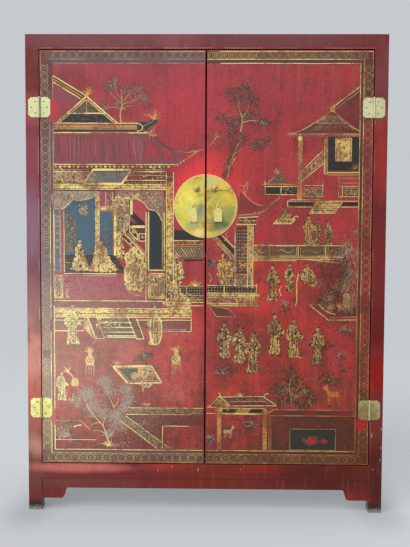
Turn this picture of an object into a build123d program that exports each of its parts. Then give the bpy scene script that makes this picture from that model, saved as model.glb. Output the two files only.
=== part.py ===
"""Two-door wedding cabinet: a post-and-rail case with floating panels, two boarded doors on brass hinges,
and a round brass lock plate with ring staples, hanging pulls and a sliding keeper pin.

Millimetres, +Z up. The doors face -Y. The origin is on the floor, under the centre of the whole object.
"""

import os

from build123d import *

# ---------------------------------------------------------------- driving dimensions
width = 1180.0
depth = 520.0
height = 1575.0

post_w = 44.0  # post section along X
post_d = 44.0  # post section along Y
leg_height = 112.0  # floor to the underside of the bottom rails
top_rail_face = 48.0  # what shows of the front top rail above the doors
bottom_rail_face = 47.0  # what shows of the front bottom rail below the doors
stop_lip = 8.0  # how far the rails reach behind a door's edge
edge_round = 1.5

tenon_t = 12.0
tenon_shoulder = 10.0
joint_clear = 0.1  # around each tenon
tenon_gap = 1.0  # left at the bottom of a mortise

panel_t = 10.0  # side and back panels
panel_inset = 8.0  # outer face of the frame to the panel's face
groove_depth = 8.0
groove_clear = 0.15
panel_gap = 1.0  # left at the bottom of a groove, for the panel to move
flat_panel_t = 16.0  # top panel and floor board
flat_tongue_t = 8.0
top_sink = 2.0  # the top panel's face below the frame
bearer_w = 40.0
bearer_t = 20.0

shelf_t = 18.0
shelf_rail_w = 46.0
shelf_rail_h = 30.0
shelf_tenon_shoulder = 5.0
shelf_side_gap = 1.0
lower_shelf_z = 615.0  # top faces
upper_shelf_z = 1070.0

back_rail_h = 40.0
back_rail_t = 30.0
back_rail_z = 840.0

apron_h = 37.0
apron_t = 16.0
apron_set_back = 3.0
spandrel_drop = 72.0  # below the bottom rail
spandrel_flat = 66.0  # level foot of the spandrel, from the post
spandrel_reach = 87.0  # to where the spandrel meets the apron's underside
loose_spandrel_gap = 2.5  # the front left spandrel has shrunk away from its post

door_t = 22.0
door_side_gap = 3.0
door_top_gap = 4.0
door_bottom_gap = 3.0
door_mid_gap = 5.0
door_edge_round = 1.2
batten_w = 30.0
batten_flare = 3.0  # each side of the dovetail
batten_depth = 6.0
batten_proud = 10.0
batten_end = 15.0  # short of the door's edge
batten_edge_z = 150.0  # outer battens, from the door's top and bottom
batten_below_plate = 175.0  # middle batten, below the lock plate's centre

hinge_h = 65.0
hinge_half_w = 36.0
hinge_from_opening = 188.0  # hinge centre to the top or bottom of the opening
leaf_t = 1.6
leaf_corner = 9.0
barrel_r = 3.8
hinge_pin_r = 1.9
pin_head_inset = 0.4  # the pin's head inside the barrel's outline
pin_head_t = 2.2
pin_head_rim = 0.4
hinge_axis_reach = 4.4  # axis in front of the doors' faces
knuckle_count = 5
knuckle_clear = 0.3
running_clear = 0.07
nail_xz = ((14.0, 18.5), (25.5, 0.0), (14.0, -18.5))
nail_head_r = 2.5
nail_head_t = 1.3
nail_shank_r = 1.1
nail_clear = 0.1
nail_cover = 3.0  # wood between a nail's tip and a batten's groove
nail_point = 3.0

plate_r = 104.5
plate_t = 1.6
plate_z = 1019.0
plate_edge = 0.6
ring_r = 5.2  # staple ring, centre of wire
wire_r = 1.3
shank_r = 1.9
shank_clear = 0.15
clinch_w = 3.4
clinch_t = 1.6
clinch_length = 26.0
lock_staple_x = 29.5
lock_staple_rise = 55.0  # above the plate's centre
rosette_r = 10.5
rosette_t = 3.0
rosette_petals = 12
pull_staple_x = 40.6
pull_rise = 4.0  # pull pivots above the plate's centre
pull_w = 27.5
pull_body_h = 38.0
pull_length = 57.0
pull_t = 2.0
pull_tab_w = 12.0
pull_edge = 0.4
pull_hole_r = 3.2
pull_slack = 0.4  # between the ring and the edge of the hole that hangs on it
pull_top = 2.0  # pivot up to the top of the pull
pin_r = 2.0
pin_past_staple = 2.0  # tip beyond the left ring when the pin is home
bow_from_staple = 7.5  # right ring to the pin's bow when the pin is home
bow_length = 20.0
bow_height = 14.0
bow_wire_r = 1.6
seat_gap = 0.3

# ---------------------------------------------------------------- worked out from them
plate_reach = plate_t + rosette_t
lock_ring_reach = plate_reach + ring_r + wire_r + seat_gap
hardware_reach = lock_ring_reach + ring_r + wire_r
front = (hardware_reach - depth) / 2
back = front + depth
inner_x = width / 2 - post_w
front_inner = front + post_d
rear_inner = back - post_d
tenon_l = min(post_w, post_d) / 2 - tenon_t / 2 - tenon_gap

bottom_rail_z = (leg_height, leg_height + bottom_rail_face + stop_lip)
top_rail_z = (height - top_rail_face - stop_lip, height)
opening_z = (leg_height + bottom_rail_face, height - top_rail_face)
door_z = (opening_z[0] + door_bottom_gap, opening_z[1] - door_top_gap)
door_outer_x = inner_x - door_side_gap
door_inner_x = door_mid_gap / 2
door_back = front + door_t

side_panel_x = (width / 2 - panel_inset - panel_t, width / 2 - panel_inset)
back_panel_y = (back - panel_inset - panel_t, back - panel_inset)
shelf_rail_x = (side_panel_x[0] - shelf_rail_w, side_panel_x[0])
shelf_tenon_x = (side_panel_x[0] - tenon_t, side_panel_x[0])
hinge_x = inner_x - door_side_gap / 2
hinge_y = front - hinge_axis_reach
nail_depth = door_t - batten_depth - nail_cover
nail_hole_y = (front - 1, front + nail_depth + 1)
hinge_zs = {"lower": opening_z[0] + hinge_from_opening, "upper": opening_z[1] - hinge_from_opening}
batten_zs = (door_z[0] + batten_edge_z, plate_z - batten_below_plate, door_z[1] - batten_edge_z)
lock_z = plate_z + lock_staple_rise
pull_z = plate_z + pull_rise
lock_ring_y = front - lock_ring_reach
pull_ring_y = front - plate_t - ring_r - wire_r - seat_gap
ring_hole_r = ring_r - wire_r
pull_seat = ring_hole_r - pull_slack  # pivot down to the edge of the pull's hole
pin_z = lock_z - (ring_hole_r - pin_r - seat_gap)
pin_home_tip = -(lock_staple_x + wire_r + pin_past_staple)
pin_home_bow = lock_staple_x + bow_from_staple
pin_rest_shift = seat_gap - pin_home_tip  # drawn out until the tip clears the left door

sides = {"left": -1, "right": 1}
ends = {"front": (front, 1), "rear": (back, -1)}

os.makedirs("parts", exist_ok=True)


def keep(part, label):
    """Names a finished piece and writes it."""
    part.part.label = label
    export_step(part.part, f"parts/{label}.step")


def block(x, y, z, mode=Mode.ADD):
    """A box between two values on each axis."""
    x, y, z = sorted(x), sorted(y), sorted(z)
    with Locations(((x[0] + x[1]) / 2, (y[0] + y[1]) / 2, (z[0] + z[1]) / 2)):
        Box(x[1] - x[0], y[1] - y[0], z[1] - z[0], mode=mode)


def grown(limits, by):
    return (min(limits) - by, max(limits) + by)


def tenon_height(rail_z):
    return grown(rail_z, -tenon_shoulder)


def round_along_y(x, z, radius, y, mode=Mode.ADD):
    """A round bar or hole along Y."""
    with Locations(Location((x, (y[0] + y[1]) / 2, z), (90, 0, 0))):
        Cylinder(radius, abs(y[1] - y[0]), mode=mode)


def nail_points(side, z_mid, toward):
    """Where one hinge leaf is nailed: toward is 1 on the post and -1 on the door."""
    return [(side * (hinge_x + toward * dx), z_mid + dz) for dx, dz in nail_xz]


# ---------------------------------------------------------------- rail spans, shared with their mortises
back_rail_zs = (back_rail_z - back_rail_h / 2, back_rail_z + back_rail_h / 2)
back_rail_y = (back - back_rail_t, back)
back_tenon_y = (back_rail_y[0], back_panel_y[0])
post_mid_x = width / 2 - post_w / 2
side_tenon_x = (post_mid_x - tenon_t / 2, post_mid_x + tenon_t / 2)
shelf_rail_zs = [(top - shelf_t - shelf_rail_h, top - shelf_t) for top in (lower_shelf_z, upper_shelf_z)]
shelf_tenon_zs = [grown(z, -shelf_tenon_shoulder) for z in shelf_rail_zs]


# ---------------------------------------------------------------- posts
def make_post(side_name, side, end_name, end_y, inward):
    mid_y = end_y + inward * post_d / 2
    inner_y = end_y + inward * post_d
    with BuildPart() as post:
        with BuildSketch(Plane.XY):
            with Locations((side * post_mid_x, mid_y)):
                Rectangle(post_w, post_d)
        extrude(amount=height)
        outer_x = post.faces().filter_by(Axis.X).sort_by(Axis.X)[-1 if side > 0 else 0]
        outer_y = post.faces().filter_by(Axis.Y).sort_by(Axis.Y)[-1 if inward < 0 else 0]
        shown = outer_x.edges() + outer_y.edges()
        upright = shown.filter_by(Axis.Z).filter_by(
            lambda e: abs(abs(e.center().X) - width / 2) < 1 and abs(e.center().Y - end_y) < 1
        )
        crown = shown.filter_by(lambda e: e.center().Z > height - 1)
        fillet([upright[0]] + list(crown), edge_round)
        for rail_z in (bottom_rail_z, top_rail_z):
            mortise_z = grown(tenon_height(rail_z), joint_clear)
            block(
                (side * inner_x, side * (inner_x + tenon_l + joint_clear)),
                grown((mid_y - tenon_t / 2, mid_y + tenon_t / 2), joint_clear),
                mortise_z,
                Mode.SUBTRACT,
            )
            block(
                [side * x for x in grown(side_tenon_x, joint_clear)],
                (inner_y, inner_y - inward * (tenon_l + joint_clear)),
                mortise_z,
                Mode.SUBTRACT,
            )
        for tenon_z in shelf_tenon_zs:
            block(
                [side * x for x in grown(shelf_tenon_x, joint_clear)],
                (inner_y, inner_y - inward * (tenon_l + joint_clear)),
                grown(tenon_z, joint_clear),
                Mode.SUBTRACT,
            )
        groove_z = (bottom_rail_z[1] - groove_depth, top_rail_z[0] + groove_depth)
        block(
            [side * x for x in grown(side_panel_x, groove_clear)],
            (inner_y, inner_y - inward * groove_depth),
            groove_z,
            Mode.SUBTRACT,
        )
        if end_name == "rear":
            block(
                (side * inner_x, side * (inner_x + groove_depth)),
                grown(back_panel_y, groove_clear),
                groove_z,
                Mode.SUBTRACT,
            )
            block(
                (side * inner_x, side * (inner_x + tenon_l + joint_clear)),
                grown(back_tenon_y, joint_clear),
                grown(tenon_height(back_rail_zs), joint_clear),
                Mode.SUBTRACT,
            )
        else:
            for z_mid in hinge_zs.values():
                for x, z in nail_points(side, z_mid, 1):
                    round_along_y(x, z, nail_shank_r + nail_clear, nail_hole_y, Mode.SUBTRACT)
    keep(post, f"post_{end_name}_{side_name}")


for side_name, side in sides.items():
    for end_name, (end_y, inward) in ends.items():
        make_post(side_name, side, end_name, end_y, inward)


# ---------------------------------------------------------------- front and rear rails
def make_cross_rail(label, end_name, rail_z, panel_z, shown_z):
    """A rail along X with its tenons, and grooves for the flat panel and, at the rear, the back panel."""
    end_y, inward = ends[end_name]
    mid_y = end_y + inward * post_d / 2
    inner_y = end_y + inward * post_d
    is_top = rail_z[1] == height
    with BuildPart() as rail:
        block((-inner_x, inner_x), (end_y, inner_y), rail_z)
        if is_top:
            fillet(
                rail.edges().filter_by(Axis.X).filter_by(
                    lambda e: e.center().Z > height - 1 and abs(e.center().Y - end_y) < 1
                ),
                edge_round,
            )
        block(
            (-inner_x - tenon_l, inner_x + tenon_l),
            (mid_y - tenon_t / 2, mid_y + tenon_t / 2),
            tenon_height(rail_z),
        )
        block(
            (-inner_x, inner_x),
            (inner_y, inner_y - inward * groove_depth),
            grown(panel_z, groove_clear),
            Mode.SUBTRACT,
        )
        block(
            (-bearer_w / 2 - joint_clear, bearer_w / 2 + joint_clear),
            (inner_y, inner_y - inward * (tenon_l + joint_clear)),
            grown(bearer_tenon_z(panel_z, is_top), joint_clear),
            Mode.SUBTRACT,
        )
        if end_name == "rear":
            mouth = rail_z[0] if is_top else rail_z[1]
            into = mouth + groove_depth if is_top else mouth - groove_depth
            block((-inner_x, inner_x), grown(back_panel_y, groove_clear), (mouth, into), Mode.SUBTRACT)
        else:
            block(
                (-inner_x, inner_x),
                (front - 1, door_back + seat_gap),
                shown_z,
                Mode.SUBTRACT,
            )
    keep(rail, label)


def flat_tongue_z(rail_z, is_top):
    """The tongue round the top panel or the floor board, which its frame's grooves hold."""
    if is_top:
        low = height - top_sink - flat_panel_t
    else:
        low = rail_z[1] - flat_panel_t
    return (low, low + flat_tongue_t)


def bearer_tenon_z(tongue_z, is_top):
    """The bearer under a flat panel: its height between the panel and the bearer's underside."""
    return (tongue_z[0] - bearer_t, tongue_z[0] - 2 * groove_clear)


top_tongue_z = flat_tongue_z(top_rail_z, True)
floor_tongue_z = flat_tongue_z(bottom_rail_z, False)

for end_name in ends:
    make_cross_rail(
        f"top_rail_{end_name}", end_name, top_rail_z, top_tongue_z, (top_rail_z[0] - 1, opening_z[1])
    )
    make_cross_rail(
        f"bottom_rail_{end_name}",
        end_name,
        bottom_rail_z,
        floor_tongue_z,
        (opening_z[0], bottom_rail_z[1] + 1),
    )


# ---------------------------------------------------------------- side rails
def make_side_rail(label, side, rail_z, panel_z):
    """A rail along Y with its tenons, and grooves for the flat panel and the side panel."""
    is_top = rail_z[1] == height
    with BuildPart() as rail:
        block((side * inner_x, side * width / 2), (front_inner, rear_inner), rail_z)
        if is_top:
            fillet(
                rail.edges().filter_by(Axis.Y).filter_by(
                    lambda e: e.center().Z > height - 1 and abs(abs(e.center().X) - width / 2) < 1
                ),
                edge_round,
            )
        block(
            [side * x for x in side_tenon_x],
            (front_inner - tenon_l, rear_inner + tenon_l),
            tenon_height(rail_z),
        )
        block(
            (side * inner_x, side * (inner_x + groove_depth)),
            (front_inner, rear_inner),
            grown(panel_z, groove_clear),
            Mode.SUBTRACT,
        )
        mouth = rail_z[0] if is_top else rail_z[1]
        into = mouth + groove_depth if is_top else mouth - groove_depth
        block(
            [side * x for x in grown(side_panel_x, groove_clear)],
            (front_inner, rear_inner),
            (mouth, into),
            Mode.SUBTRACT,
        )
    keep(rail, label)


for side_name, side in sides.items():
    make_side_rail(f"top_rail_{side_name}", side, top_rail_z, top_tongue_z)
    make_side_rail(f"bottom_rail_{side_name}", side, bottom_rail_z, floor_tongue_z)


# ---------------------------------------------------------------- top panel and floor board
def make_flat_panel(label, tongue_z, low, high):
    """A board between the rails, with a tongue that is notched round the posts."""
    tongue = groove_depth - panel_gap
    with BuildPart() as panel:
        block((-inner_x, inner_x), (front_inner, rear_inner), (low, high))
        block((-inner_x - tongue, inner_x + tongue), (front_inner, rear_inner), tongue_z)
        block((-inner_x, inner_x), (front_inner - tongue, rear_inner + tongue), tongue_z)
    keep(panel, label)


make_flat_panel("top_panel", top_tongue_z, top_tongue_z[0], height - top_sink)
make_flat_panel("floor_board", floor_tongue_z, floor_tongue_z[0], bottom_rail_z[1])

for label, tongue_z, is_top in (("top_bearer", top_tongue_z, True), ("floor_bearer", floor_tongue_z, False)):
    with BuildPart() as bearer:
        block(
            (-bearer_w / 2, bearer_w / 2),
            (front_inner, rear_inner),
            (bearer_tenon_z(tongue_z, is_top)[0], tongue_z[0]),
        )
        block(
            (-bearer_w / 2, bearer_w / 2),
            (front_inner - tenon_l, rear_inner + tenon_l),
            bearer_tenon_z(tongue_z, is_top),
        )
    keep(bearer, label)

# ---------------------------------------------------------------- side panels
for side_name, side in sides.items():
    with BuildPart() as side_panel:
        into = groove_depth - panel_gap
        block(
            [side * x for x in side_panel_x],
            (front_inner - into, rear_inner + into),
            (bottom_rail_z[1] - into, top_rail_z[0] + into),
        )
    keep(side_panel, f"side_panel_{side_name}")

# ---------------------------------------------------------------- back: middle rail and two panels
with BuildPart() as back_mid_rail:
    block((-inner_x, inner_x), back_rail_y, back_rail_zs)
    block((-inner_x - tenon_l, inner_x + tenon_l), back_tenon_y, tenon_height(back_rail_zs))
    for mouth, into in (
        (back_rail_zs[0], back_rail_zs[0] + groove_depth),
        (back_rail_zs[1], back_rail_zs[1] - groove_depth),
    ):
        block((-inner_x, inner_x), grown(back_panel_y, groove_clear), (mouth, into), Mode.SUBTRACT)
keep(back_mid_rail, "back_mid_rail")

for label, low, high in (
    ("back_panel_lower", bottom_rail_z[1], back_rail_zs[0]),
    ("back_panel_upper", back_rail_zs[1], top_rail_z[0]),
):
    with BuildPart() as back_panel:
        into = groove_depth - panel_gap
        block((-inner_x - into, inner_x + into), back_panel_y, (low - into, high + into))
    keep(back_panel, label)

# ---------------------------------------------------------------- shelves on ledger rails
for side_name, side in sides.items():
    with BuildPart() as shelf_rails:
        for rail_z, tenon_z in zip(shelf_rail_zs, shelf_tenon_zs):
            block([side * x for x in shelf_rail_x], (front_inner, rear_inner), rail_z)
            block(
                [side * x for x in shelf_tenon_x],
                (front_inner - tenon_l, rear_inner + tenon_l),
                tenon_z,
            )
    keep(shelf_rails, f"shelf_rails_{side_name}")

for label, top in (("shelf_lower", lower_shelf_z), ("shelf_upper", upper_shelf_z)):
    with BuildPart() as shelf:
        block(
            (-inner_x + shelf_side_gap, inner_x - shelf_side_gap),
            (front_inner, back_panel_y[0] - shelf_side_gap),
            (top - shelf_t, top),
        )
        fillet(shelf.edges().filter_by(Axis.X).group_by(Axis.Y)[0], edge_round)
    keep(shelf, label)


# ---------------------------------------------------------------- aprons and spandrels
def spandrel_sketch(start, toward):
    """Outline in a vertical plane, from the post at start: a level foot, then a slanting shoulder."""
    top = leg_height
    foot = leg_height - spandrel_drop
    shoulder = leg_height - apron_h
    slant = spandrel_reach - spandrel_flat
    with BuildSketch() as outline:
        with BuildLine():
            Polyline(
                (start, top),
                (start, foot),
                (start + toward * spandrel_flat, foot),
            )
            Spline(
                (start + toward * spandrel_flat, foot),
                (start + toward * (spandrel_flat + slant * 0.55), (foot + shoulder) / 2),
                (start + toward * spandrel_reach, shoulder),
                tangents=((toward, 0.35), (toward, 0.35)),
            )
            Polyline((start + toward * spandrel_reach, shoulder), (start + toward * spandrel_reach, top))
            Line((start + toward * spandrel_reach, top), (start, top))
        make_face()
    return outline.sketch


apron_z = (leg_height - apron_h, leg_height)
front_apron_y = (front + apron_set_back, front + apron_set_back + apron_t)
side_apron_x = (width / 2 - apron_set_back - apron_t, width / 2 - apron_set_back)

with BuildPart() as apron_front:
    reach = inner_x - spandrel_reach
    block((-reach, reach), front_apron_y, apron_z)
    fillet(
        apron_front.edges().filter_by(Axis.X).group_by(Axis.Z)[0].sort_by(Axis.Y)[0],
        edge_round,
    )
keep(apron_front, "apron_front")

for side_name, side in sides.items():
    gap = loose_spandrel_gap if side_name == "left" else 0
    face = spandrel_sketch(side * inner_x, -side)
    with BuildPart() as spandrel:
        with BuildSketch(Plane.XZ.offset(-front_apron_y[0])):
            add(face)
        extrude(amount=-apron_t)
        if gap:
            block(
                (side * inner_x, side * (inner_x - gap)),
                front_apron_y,
                (0, leg_height),
                Mode.SUBTRACT,
            )
    keep(spandrel, f"spandrel_front_{side_name}")

for side_name, side in sides.items():
    with BuildPart() as side_apron:
        block(
            [side * x for x in side_apron_x],
            (front_inner + spandrel_reach, rear_inner - spandrel_reach),
            apron_z,
        )
    keep(side_apron, f"apron_{side_name}")

    with BuildPart() as side_spandrels:
        for start, toward in ((front_inner, 1), (rear_inner, -1)):
            with BuildSketch(Plane.YZ.offset(side * side_apron_x[1])):
                add(spandrel_sketch(start, toward))
            extrude(amount=-side * apron_t)
    keep(side_spandrels, f"spandrels_{side_name}")


# ---------------------------------------------------------------- doors
def batten_profile(z_mid, clear):
    """A dovetailed batten across the door's back, or its groove when clear is above 0."""
    half = batten_w / 2 + clear
    root = half + batten_flare
    inside = door_back - batten_depth - clear
    Polygon(
        (inside, z_mid - root),
        (inside, z_mid + root),
        (door_back, z_mid + half),
        (door_back + batten_proud, z_mid + half),
        (door_back + batten_proud, z_mid - half),
        (door_back, z_mid - half),
        align=None,
    )


for side_name, side in sides.items():
    edges_x = sorted((side * door_outer_x, side * door_inner_x))
    door_w = edges_x[1] - edges_x[0]
    with BuildPart() as door_board:
        block(edges_x, (front, door_back), door_z)
        fillet(door_board.faces().sort_by(Axis.Y)[0].edges(), door_edge_round)
        with BuildSketch(Plane.YZ.offset(edges_x[0])):
            for z_mid in batten_zs:
                batten_profile(z_mid, joint_clear)
        extrude(amount=door_w, mode=Mode.SUBTRACT)
        for x, z in ((lock_staple_x, lock_z), (pull_staple_x, pull_z)):
            round_along_y(side * x, z, shank_r + shank_clear, (front - 1, door_back + 1), Mode.SUBTRACT)
        for z_mid in hinge_zs.values():
            for x, z in nail_points(side, z_mid, -1):
                round_along_y(x, z, nail_shank_r + nail_clear, nail_hole_y, Mode.SUBTRACT)
    keep(door_board, f"door_{side_name}_board")

    with BuildPart() as door_battens:
        with BuildSketch(Plane.YZ.offset(edges_x[0] + batten_end)):
            for z_mid in batten_zs:
                batten_profile(z_mid, 0)
        extrude(amount=door_w - 2 * batten_end)
    keep(door_battens, f"door_{side_name}_battens")


# ---------------------------------------------------------------- hinges
knuckle_h = hinge_h / knuckle_count


def make_hinge_leaf(label, side, z_mid, toward):
    """One leaf with its knuckles: toward is 1 for the leaf on the post and -1 for the leaf on the door."""
    axis_x = side * hinge_x
    outward = side * toward
    low = z_mid - hinge_h / 2
    own = range(0, knuckle_count, 2) if toward > 0 else range(1, knuckle_count, 2)
    other = [n for n in range(knuckle_count) if n not in own]
    with BuildPart() as leaf:
        with BuildSketch(Plane.XZ.offset(-front)) as outline:
            with Locations((axis_x + outward * hinge_half_w / 2, z_mid)):
                Rectangle(hinge_half_w, hinge_h)
            outer = outline.vertices().sort_by(lambda v: outward * v.X)[-2:]
            chamfer(outer, leaf_corner)
        extrude(amount=leaf_t)
        for n in own:
            with BuildSketch(Plane.XY.offset(low + n * knuckle_h + knuckle_clear / 2)):
                with Locations((axis_x, hinge_y)):
                    Circle(barrel_r)
            extrude(amount=knuckle_h - knuckle_clear)
        for n in other:
            block(
                (axis_x - outward, axis_x + outward * (barrel_r + 2 * knuckle_clear)),
                (front - leaf_t - 1, front + 1),
                (
                    low + n * knuckle_h - knuckle_clear / 2 - (1 if n == 0 else 0),
                    low + (n + 1) * knuckle_h + knuckle_clear / 2 + (1 if n == knuckle_count - 1 else 0),
                ),
                Mode.SUBTRACT,
            )
        with Locations((axis_x, hinge_y, z_mid)):
            Cylinder(hinge_pin_r + running_clear, hinge_h + 2, mode=Mode.SUBTRACT)
        for x, z in nail_points(side, z_mid, toward):
            round_along_y(
                x, z, nail_shank_r + nail_clear, (front - leaf_t - 1, front + 1), Mode.SUBTRACT
            )
    keep(leaf, label)


for side_name, side in sides.items():
    for level, z_mid in hinge_zs.items():
        make_hinge_leaf(f"hinge_post_leaf_{level}_{side_name}", side, z_mid, 1)
        make_hinge_leaf(f"hinge_door_leaf_{level}_{side_name}", side, z_mid, -1)

with BuildPart() as hinge_pin:
    pin_length = hinge_h - knuckle_clear
    Cylinder(hinge_pin_r, pin_length)
    with Locations((0, 0, -(pin_length + pin_head_t) / 2), (0, 0, (pin_length + pin_head_t) / 2)):
        Cylinder(barrel_r - pin_head_inset, pin_head_t)
    crowns = hinge_pin.edges().filter_by(GeomType.CIRCLE).sort_by(Axis.Z)
    fillet([crowns[0], crowns[-1]], pin_head_t - pin_head_rim)

with BuildPart() as hinge_pins:
    with Locations(*[(side * hinge_x, hinge_y, z) for side in sides.values() for z in hinge_zs.values()]):
        add(hinge_pin.part)
keep(hinge_pins, "hinge_pins")


with BuildPart() as nail:
    nail_tip = leaf_t + nail_depth
    with BuildSketch(Plane.XY):
        with BuildLine():
            Line((0, nail_tip), (0, -nail_head_t))
            ThreePointArc(
                (0, -nail_head_t), (nail_head_r * 0.75, -nail_head_t * 0.6), (nail_head_r, 0)
            )
            Polyline(
                (nail_head_r, 0),
                (nail_shank_r, 0),
                (nail_shank_r, nail_tip - nail_point),
                (0, nail_tip),
            )
        make_face()
    revolve(axis=Axis.Y)


def make_nails(label, spots):
    with BuildPart() as nails:
        with Locations(*[(x, front - leaf_t, z) for x, z in spots]):
            add(nail.part)
    keep(nails, label)


make_nails(
    "hinge_nails_posts",
    [p for side in sides.values() for z_mid in hinge_zs.values() for p in nail_points(side, z_mid, 1)],
)
for side_name, side in sides.items():
    make_nails(
        f"hinge_nails_door_{side_name}",
        [p for z_mid in hinge_zs.values() for p in nail_points(side, z_mid, -1)],
    )

# ---------------------------------------------------------------- lock plate halves and rosettes
for side_name, side in sides.items():
    with BuildPart() as lock_plate:
        with BuildSketch(Plane.XZ.offset(-front)):
            with Locations((0, plate_z)):
                Circle(plate_r)
            with Locations((-side * plate_r + side * (door_inner_x + plate_edge), plate_z)):
                Rectangle(2 * plate_r, 2 * plate_r + 2, mode=Mode.SUBTRACT)
        extrude(amount=plate_t)
        chamfer(lock_plate.faces().sort_by(Axis.Y)[0].edges(), plate_edge)
        for x, z in ((lock_staple_x, lock_z), (pull_staple_x, pull_z)):
            round_along_y(
                side * x, z, shank_r + shank_clear, (front - plate_t - 1, front + 1), Mode.SUBTRACT
            )
    keep(lock_plate, f"lock_plate_{side_name}")

    with BuildPart() as rosette:
        centre = side * lock_staple_x
        seat = front - plate_t
        with BuildSketch(Plane.XY.offset(lock_z)):
            with BuildLine():
                Polyline(
                    (centre + rosette_r, seat),
                    (centre + shank_r + shank_clear, seat),
                    (centre + shank_r + shank_clear, seat - rosette_t),
                )
                Spline(
                    (centre + shank_r + shank_clear, seat - rosette_t),
                    (centre + rosette_r * 0.6, seat - rosette_t * 0.8),
                    (centre + rosette_r, seat - 0.6),
                )
                Line((centre + rosette_r, seat - 0.6), (centre + rosette_r, seat))
            make_face()
        revolve(axis=Axis((centre, 0, lock_z), (0, 1, 0)))
        with Locations(Location((centre, seat, lock_z), (90, 0, 0))):
            with PolarLocations(rosette_r + 0.4, rosette_petals):
                Cylinder(1.1, 4 * rosette_t, mode=Mode.SUBTRACT)
    keep(rosette, f"lock_rosette_{side_name}")


# ---------------------------------------------------------------- staples
def make_staple(label, x, ring_y, z):
    """A wire ring in the YZ plane on a split shank, whose two legs are bent over behind the door."""
    with BuildPart() as staple:
        with Locations(Location((x, ring_y, z), (0, 90, 0))):
            Torus(ring_r, wire_r)
        round_along_y(x, z, shank_r, (ring_y + ring_r, door_back + clinch_t))
        block(
            (x - clinch_w / 2, x + clinch_w / 2),
            (door_back, door_back + clinch_t),
            (z - clinch_length / 2, z + clinch_length / 2),
        )
    keep(staple, label)


for side_name, side in sides.items():
    make_staple(f"lock_staple_{side_name}", side * lock_staple_x, lock_ring_y, lock_z)
    make_staple(f"pull_staple_{side_name}", side * pull_staple_x, pull_ring_y, pull_z)

# ---------------------------------------------------------------- hanging pulls
with BuildPart() as pull_shape:
    half = pull_w / 2
    tab = pull_tab_w / 2
    foot = pull_top - pull_length
    shoulder = foot + pull_body_h
    neck = pull_top - tab
    sweep_x = tab + (half - tab) * 0.3
    sweep_z = shoulder + (neck - shoulder) * 0.3
    with BuildSketch(Plane.XZ.offset(-pull_t / 2)):
        with BuildLine():
            Polyline((-half, shoulder), (-half, foot), (half, foot), (half, shoulder))
            ThreePointArc((half, shoulder), (sweep_x, sweep_z), (tab, neck))
            ThreePointArc((tab, neck), (0, pull_top), (-tab, neck))
            ThreePointArc((-tab, neck), (-sweep_x, sweep_z), (-half, shoulder))
        make_face()
        with Locations((0, -pull_seat - pull_hole_r)):
            Circle(pull_hole_r, mode=Mode.SUBTRACT)
    extrude(amount=pull_t)
    rim = pull_shape.faces().sort_by(Axis.Y)[0].outer_wire()
    chamfer(rim.edges().filter_by(GeomType.LINE), pull_edge)

for side_name, side in sides.items():
    with BuildPart() as pull:
        with Locations((side * pull_staple_x, pull_ring_y, pull_z)):
            add(pull_shape.part)
    keep(pull, f"pull_{side_name}")

# ---------------------------------------------------------------- keeper pin, drawn out of the left ring
rod_start = pin_home_tip + pin_rest_shift
bow_start = pin_home_bow + pin_rest_shift
rod_end = bow_start + bow_wire_r
bow_size = (bow_length / 2 - bow_wire_r, bow_height / 2 - bow_wire_r)
with BuildPart() as lock_pin:
    with Locations(Location(((rod_start + rod_end) / 2, lock_ring_y, pin_z), (0, 90, 0))):
        Cylinder(pin_r, rod_end - rod_start)
    fillet(lock_pin.edges().sort_by(Axis.X)[0], pin_r * 0.6)
    with BuildLine(Plane.XZ.offset(-lock_ring_y)) as bow:
        bow_centre = (bow_start + bow_length / 2, pin_z)
        EllipticalCenterArc(bow_centre, *bow_size, start_angle=0, arc_size=360)
    with BuildSketch(Plane(origin=bow.line @ 0, z_dir=bow.line % 0)):
        Circle(bow_wire_r)
    sweep(path=bow.line)
keep(lock_pin, "lock_pin")
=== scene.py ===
import bpy
import math
import random
from mathutils import Matrix, Vector


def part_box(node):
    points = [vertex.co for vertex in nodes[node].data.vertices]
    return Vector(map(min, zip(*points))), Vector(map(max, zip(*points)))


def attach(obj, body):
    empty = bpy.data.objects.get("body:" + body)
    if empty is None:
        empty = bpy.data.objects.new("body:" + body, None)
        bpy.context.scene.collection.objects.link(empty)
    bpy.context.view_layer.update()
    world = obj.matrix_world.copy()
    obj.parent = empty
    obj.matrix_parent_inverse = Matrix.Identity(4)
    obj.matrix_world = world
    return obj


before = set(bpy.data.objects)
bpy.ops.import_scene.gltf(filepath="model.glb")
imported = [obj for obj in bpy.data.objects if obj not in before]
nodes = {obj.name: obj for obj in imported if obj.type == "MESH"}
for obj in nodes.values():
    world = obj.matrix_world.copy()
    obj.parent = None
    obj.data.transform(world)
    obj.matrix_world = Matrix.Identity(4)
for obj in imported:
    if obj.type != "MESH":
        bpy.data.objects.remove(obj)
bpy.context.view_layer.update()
rng = random.Random(11)
mm = 0.001

# places that the looks are worked out from, all read from the frame
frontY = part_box("post_front_left")[0].y
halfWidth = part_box("post_front_right")[1].x
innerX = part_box("post_front_right")[0].x
boardLow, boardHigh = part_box("door_right_board")
print("frame loaded:", len(nodes), "nodes")


def linear(hexColour):
    # sRGB hex to linear colour
    parts = [int(hexColour[i:i + 2], 16) / 255 for i in (1, 3, 5)]
    return [p / 12.92 if p <= 0.04045 else ((p + 0.055) / 1.055) ** 2.4 for p in parts] + [1.0]


def put(tree, kind, inputs=(), **settings):
    # adds one node: a node (its first output) or a socket among the inputs is linked, anything else is set
    node = tree.nodes.new("ShaderNode" + kind)
    for name, value in settings.items():
        setattr(node, name, value)
    for socket, value in dict(inputs).items():
        if isinstance(value, bpy.types.Node):
            value = value.outputs[0]
        if isinstance(value, bpy.types.NodeSocket):
            tree.links.new(value, node.inputs[socket])
        else:
            node.inputs[socket].default_value = value
    return node


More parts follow.
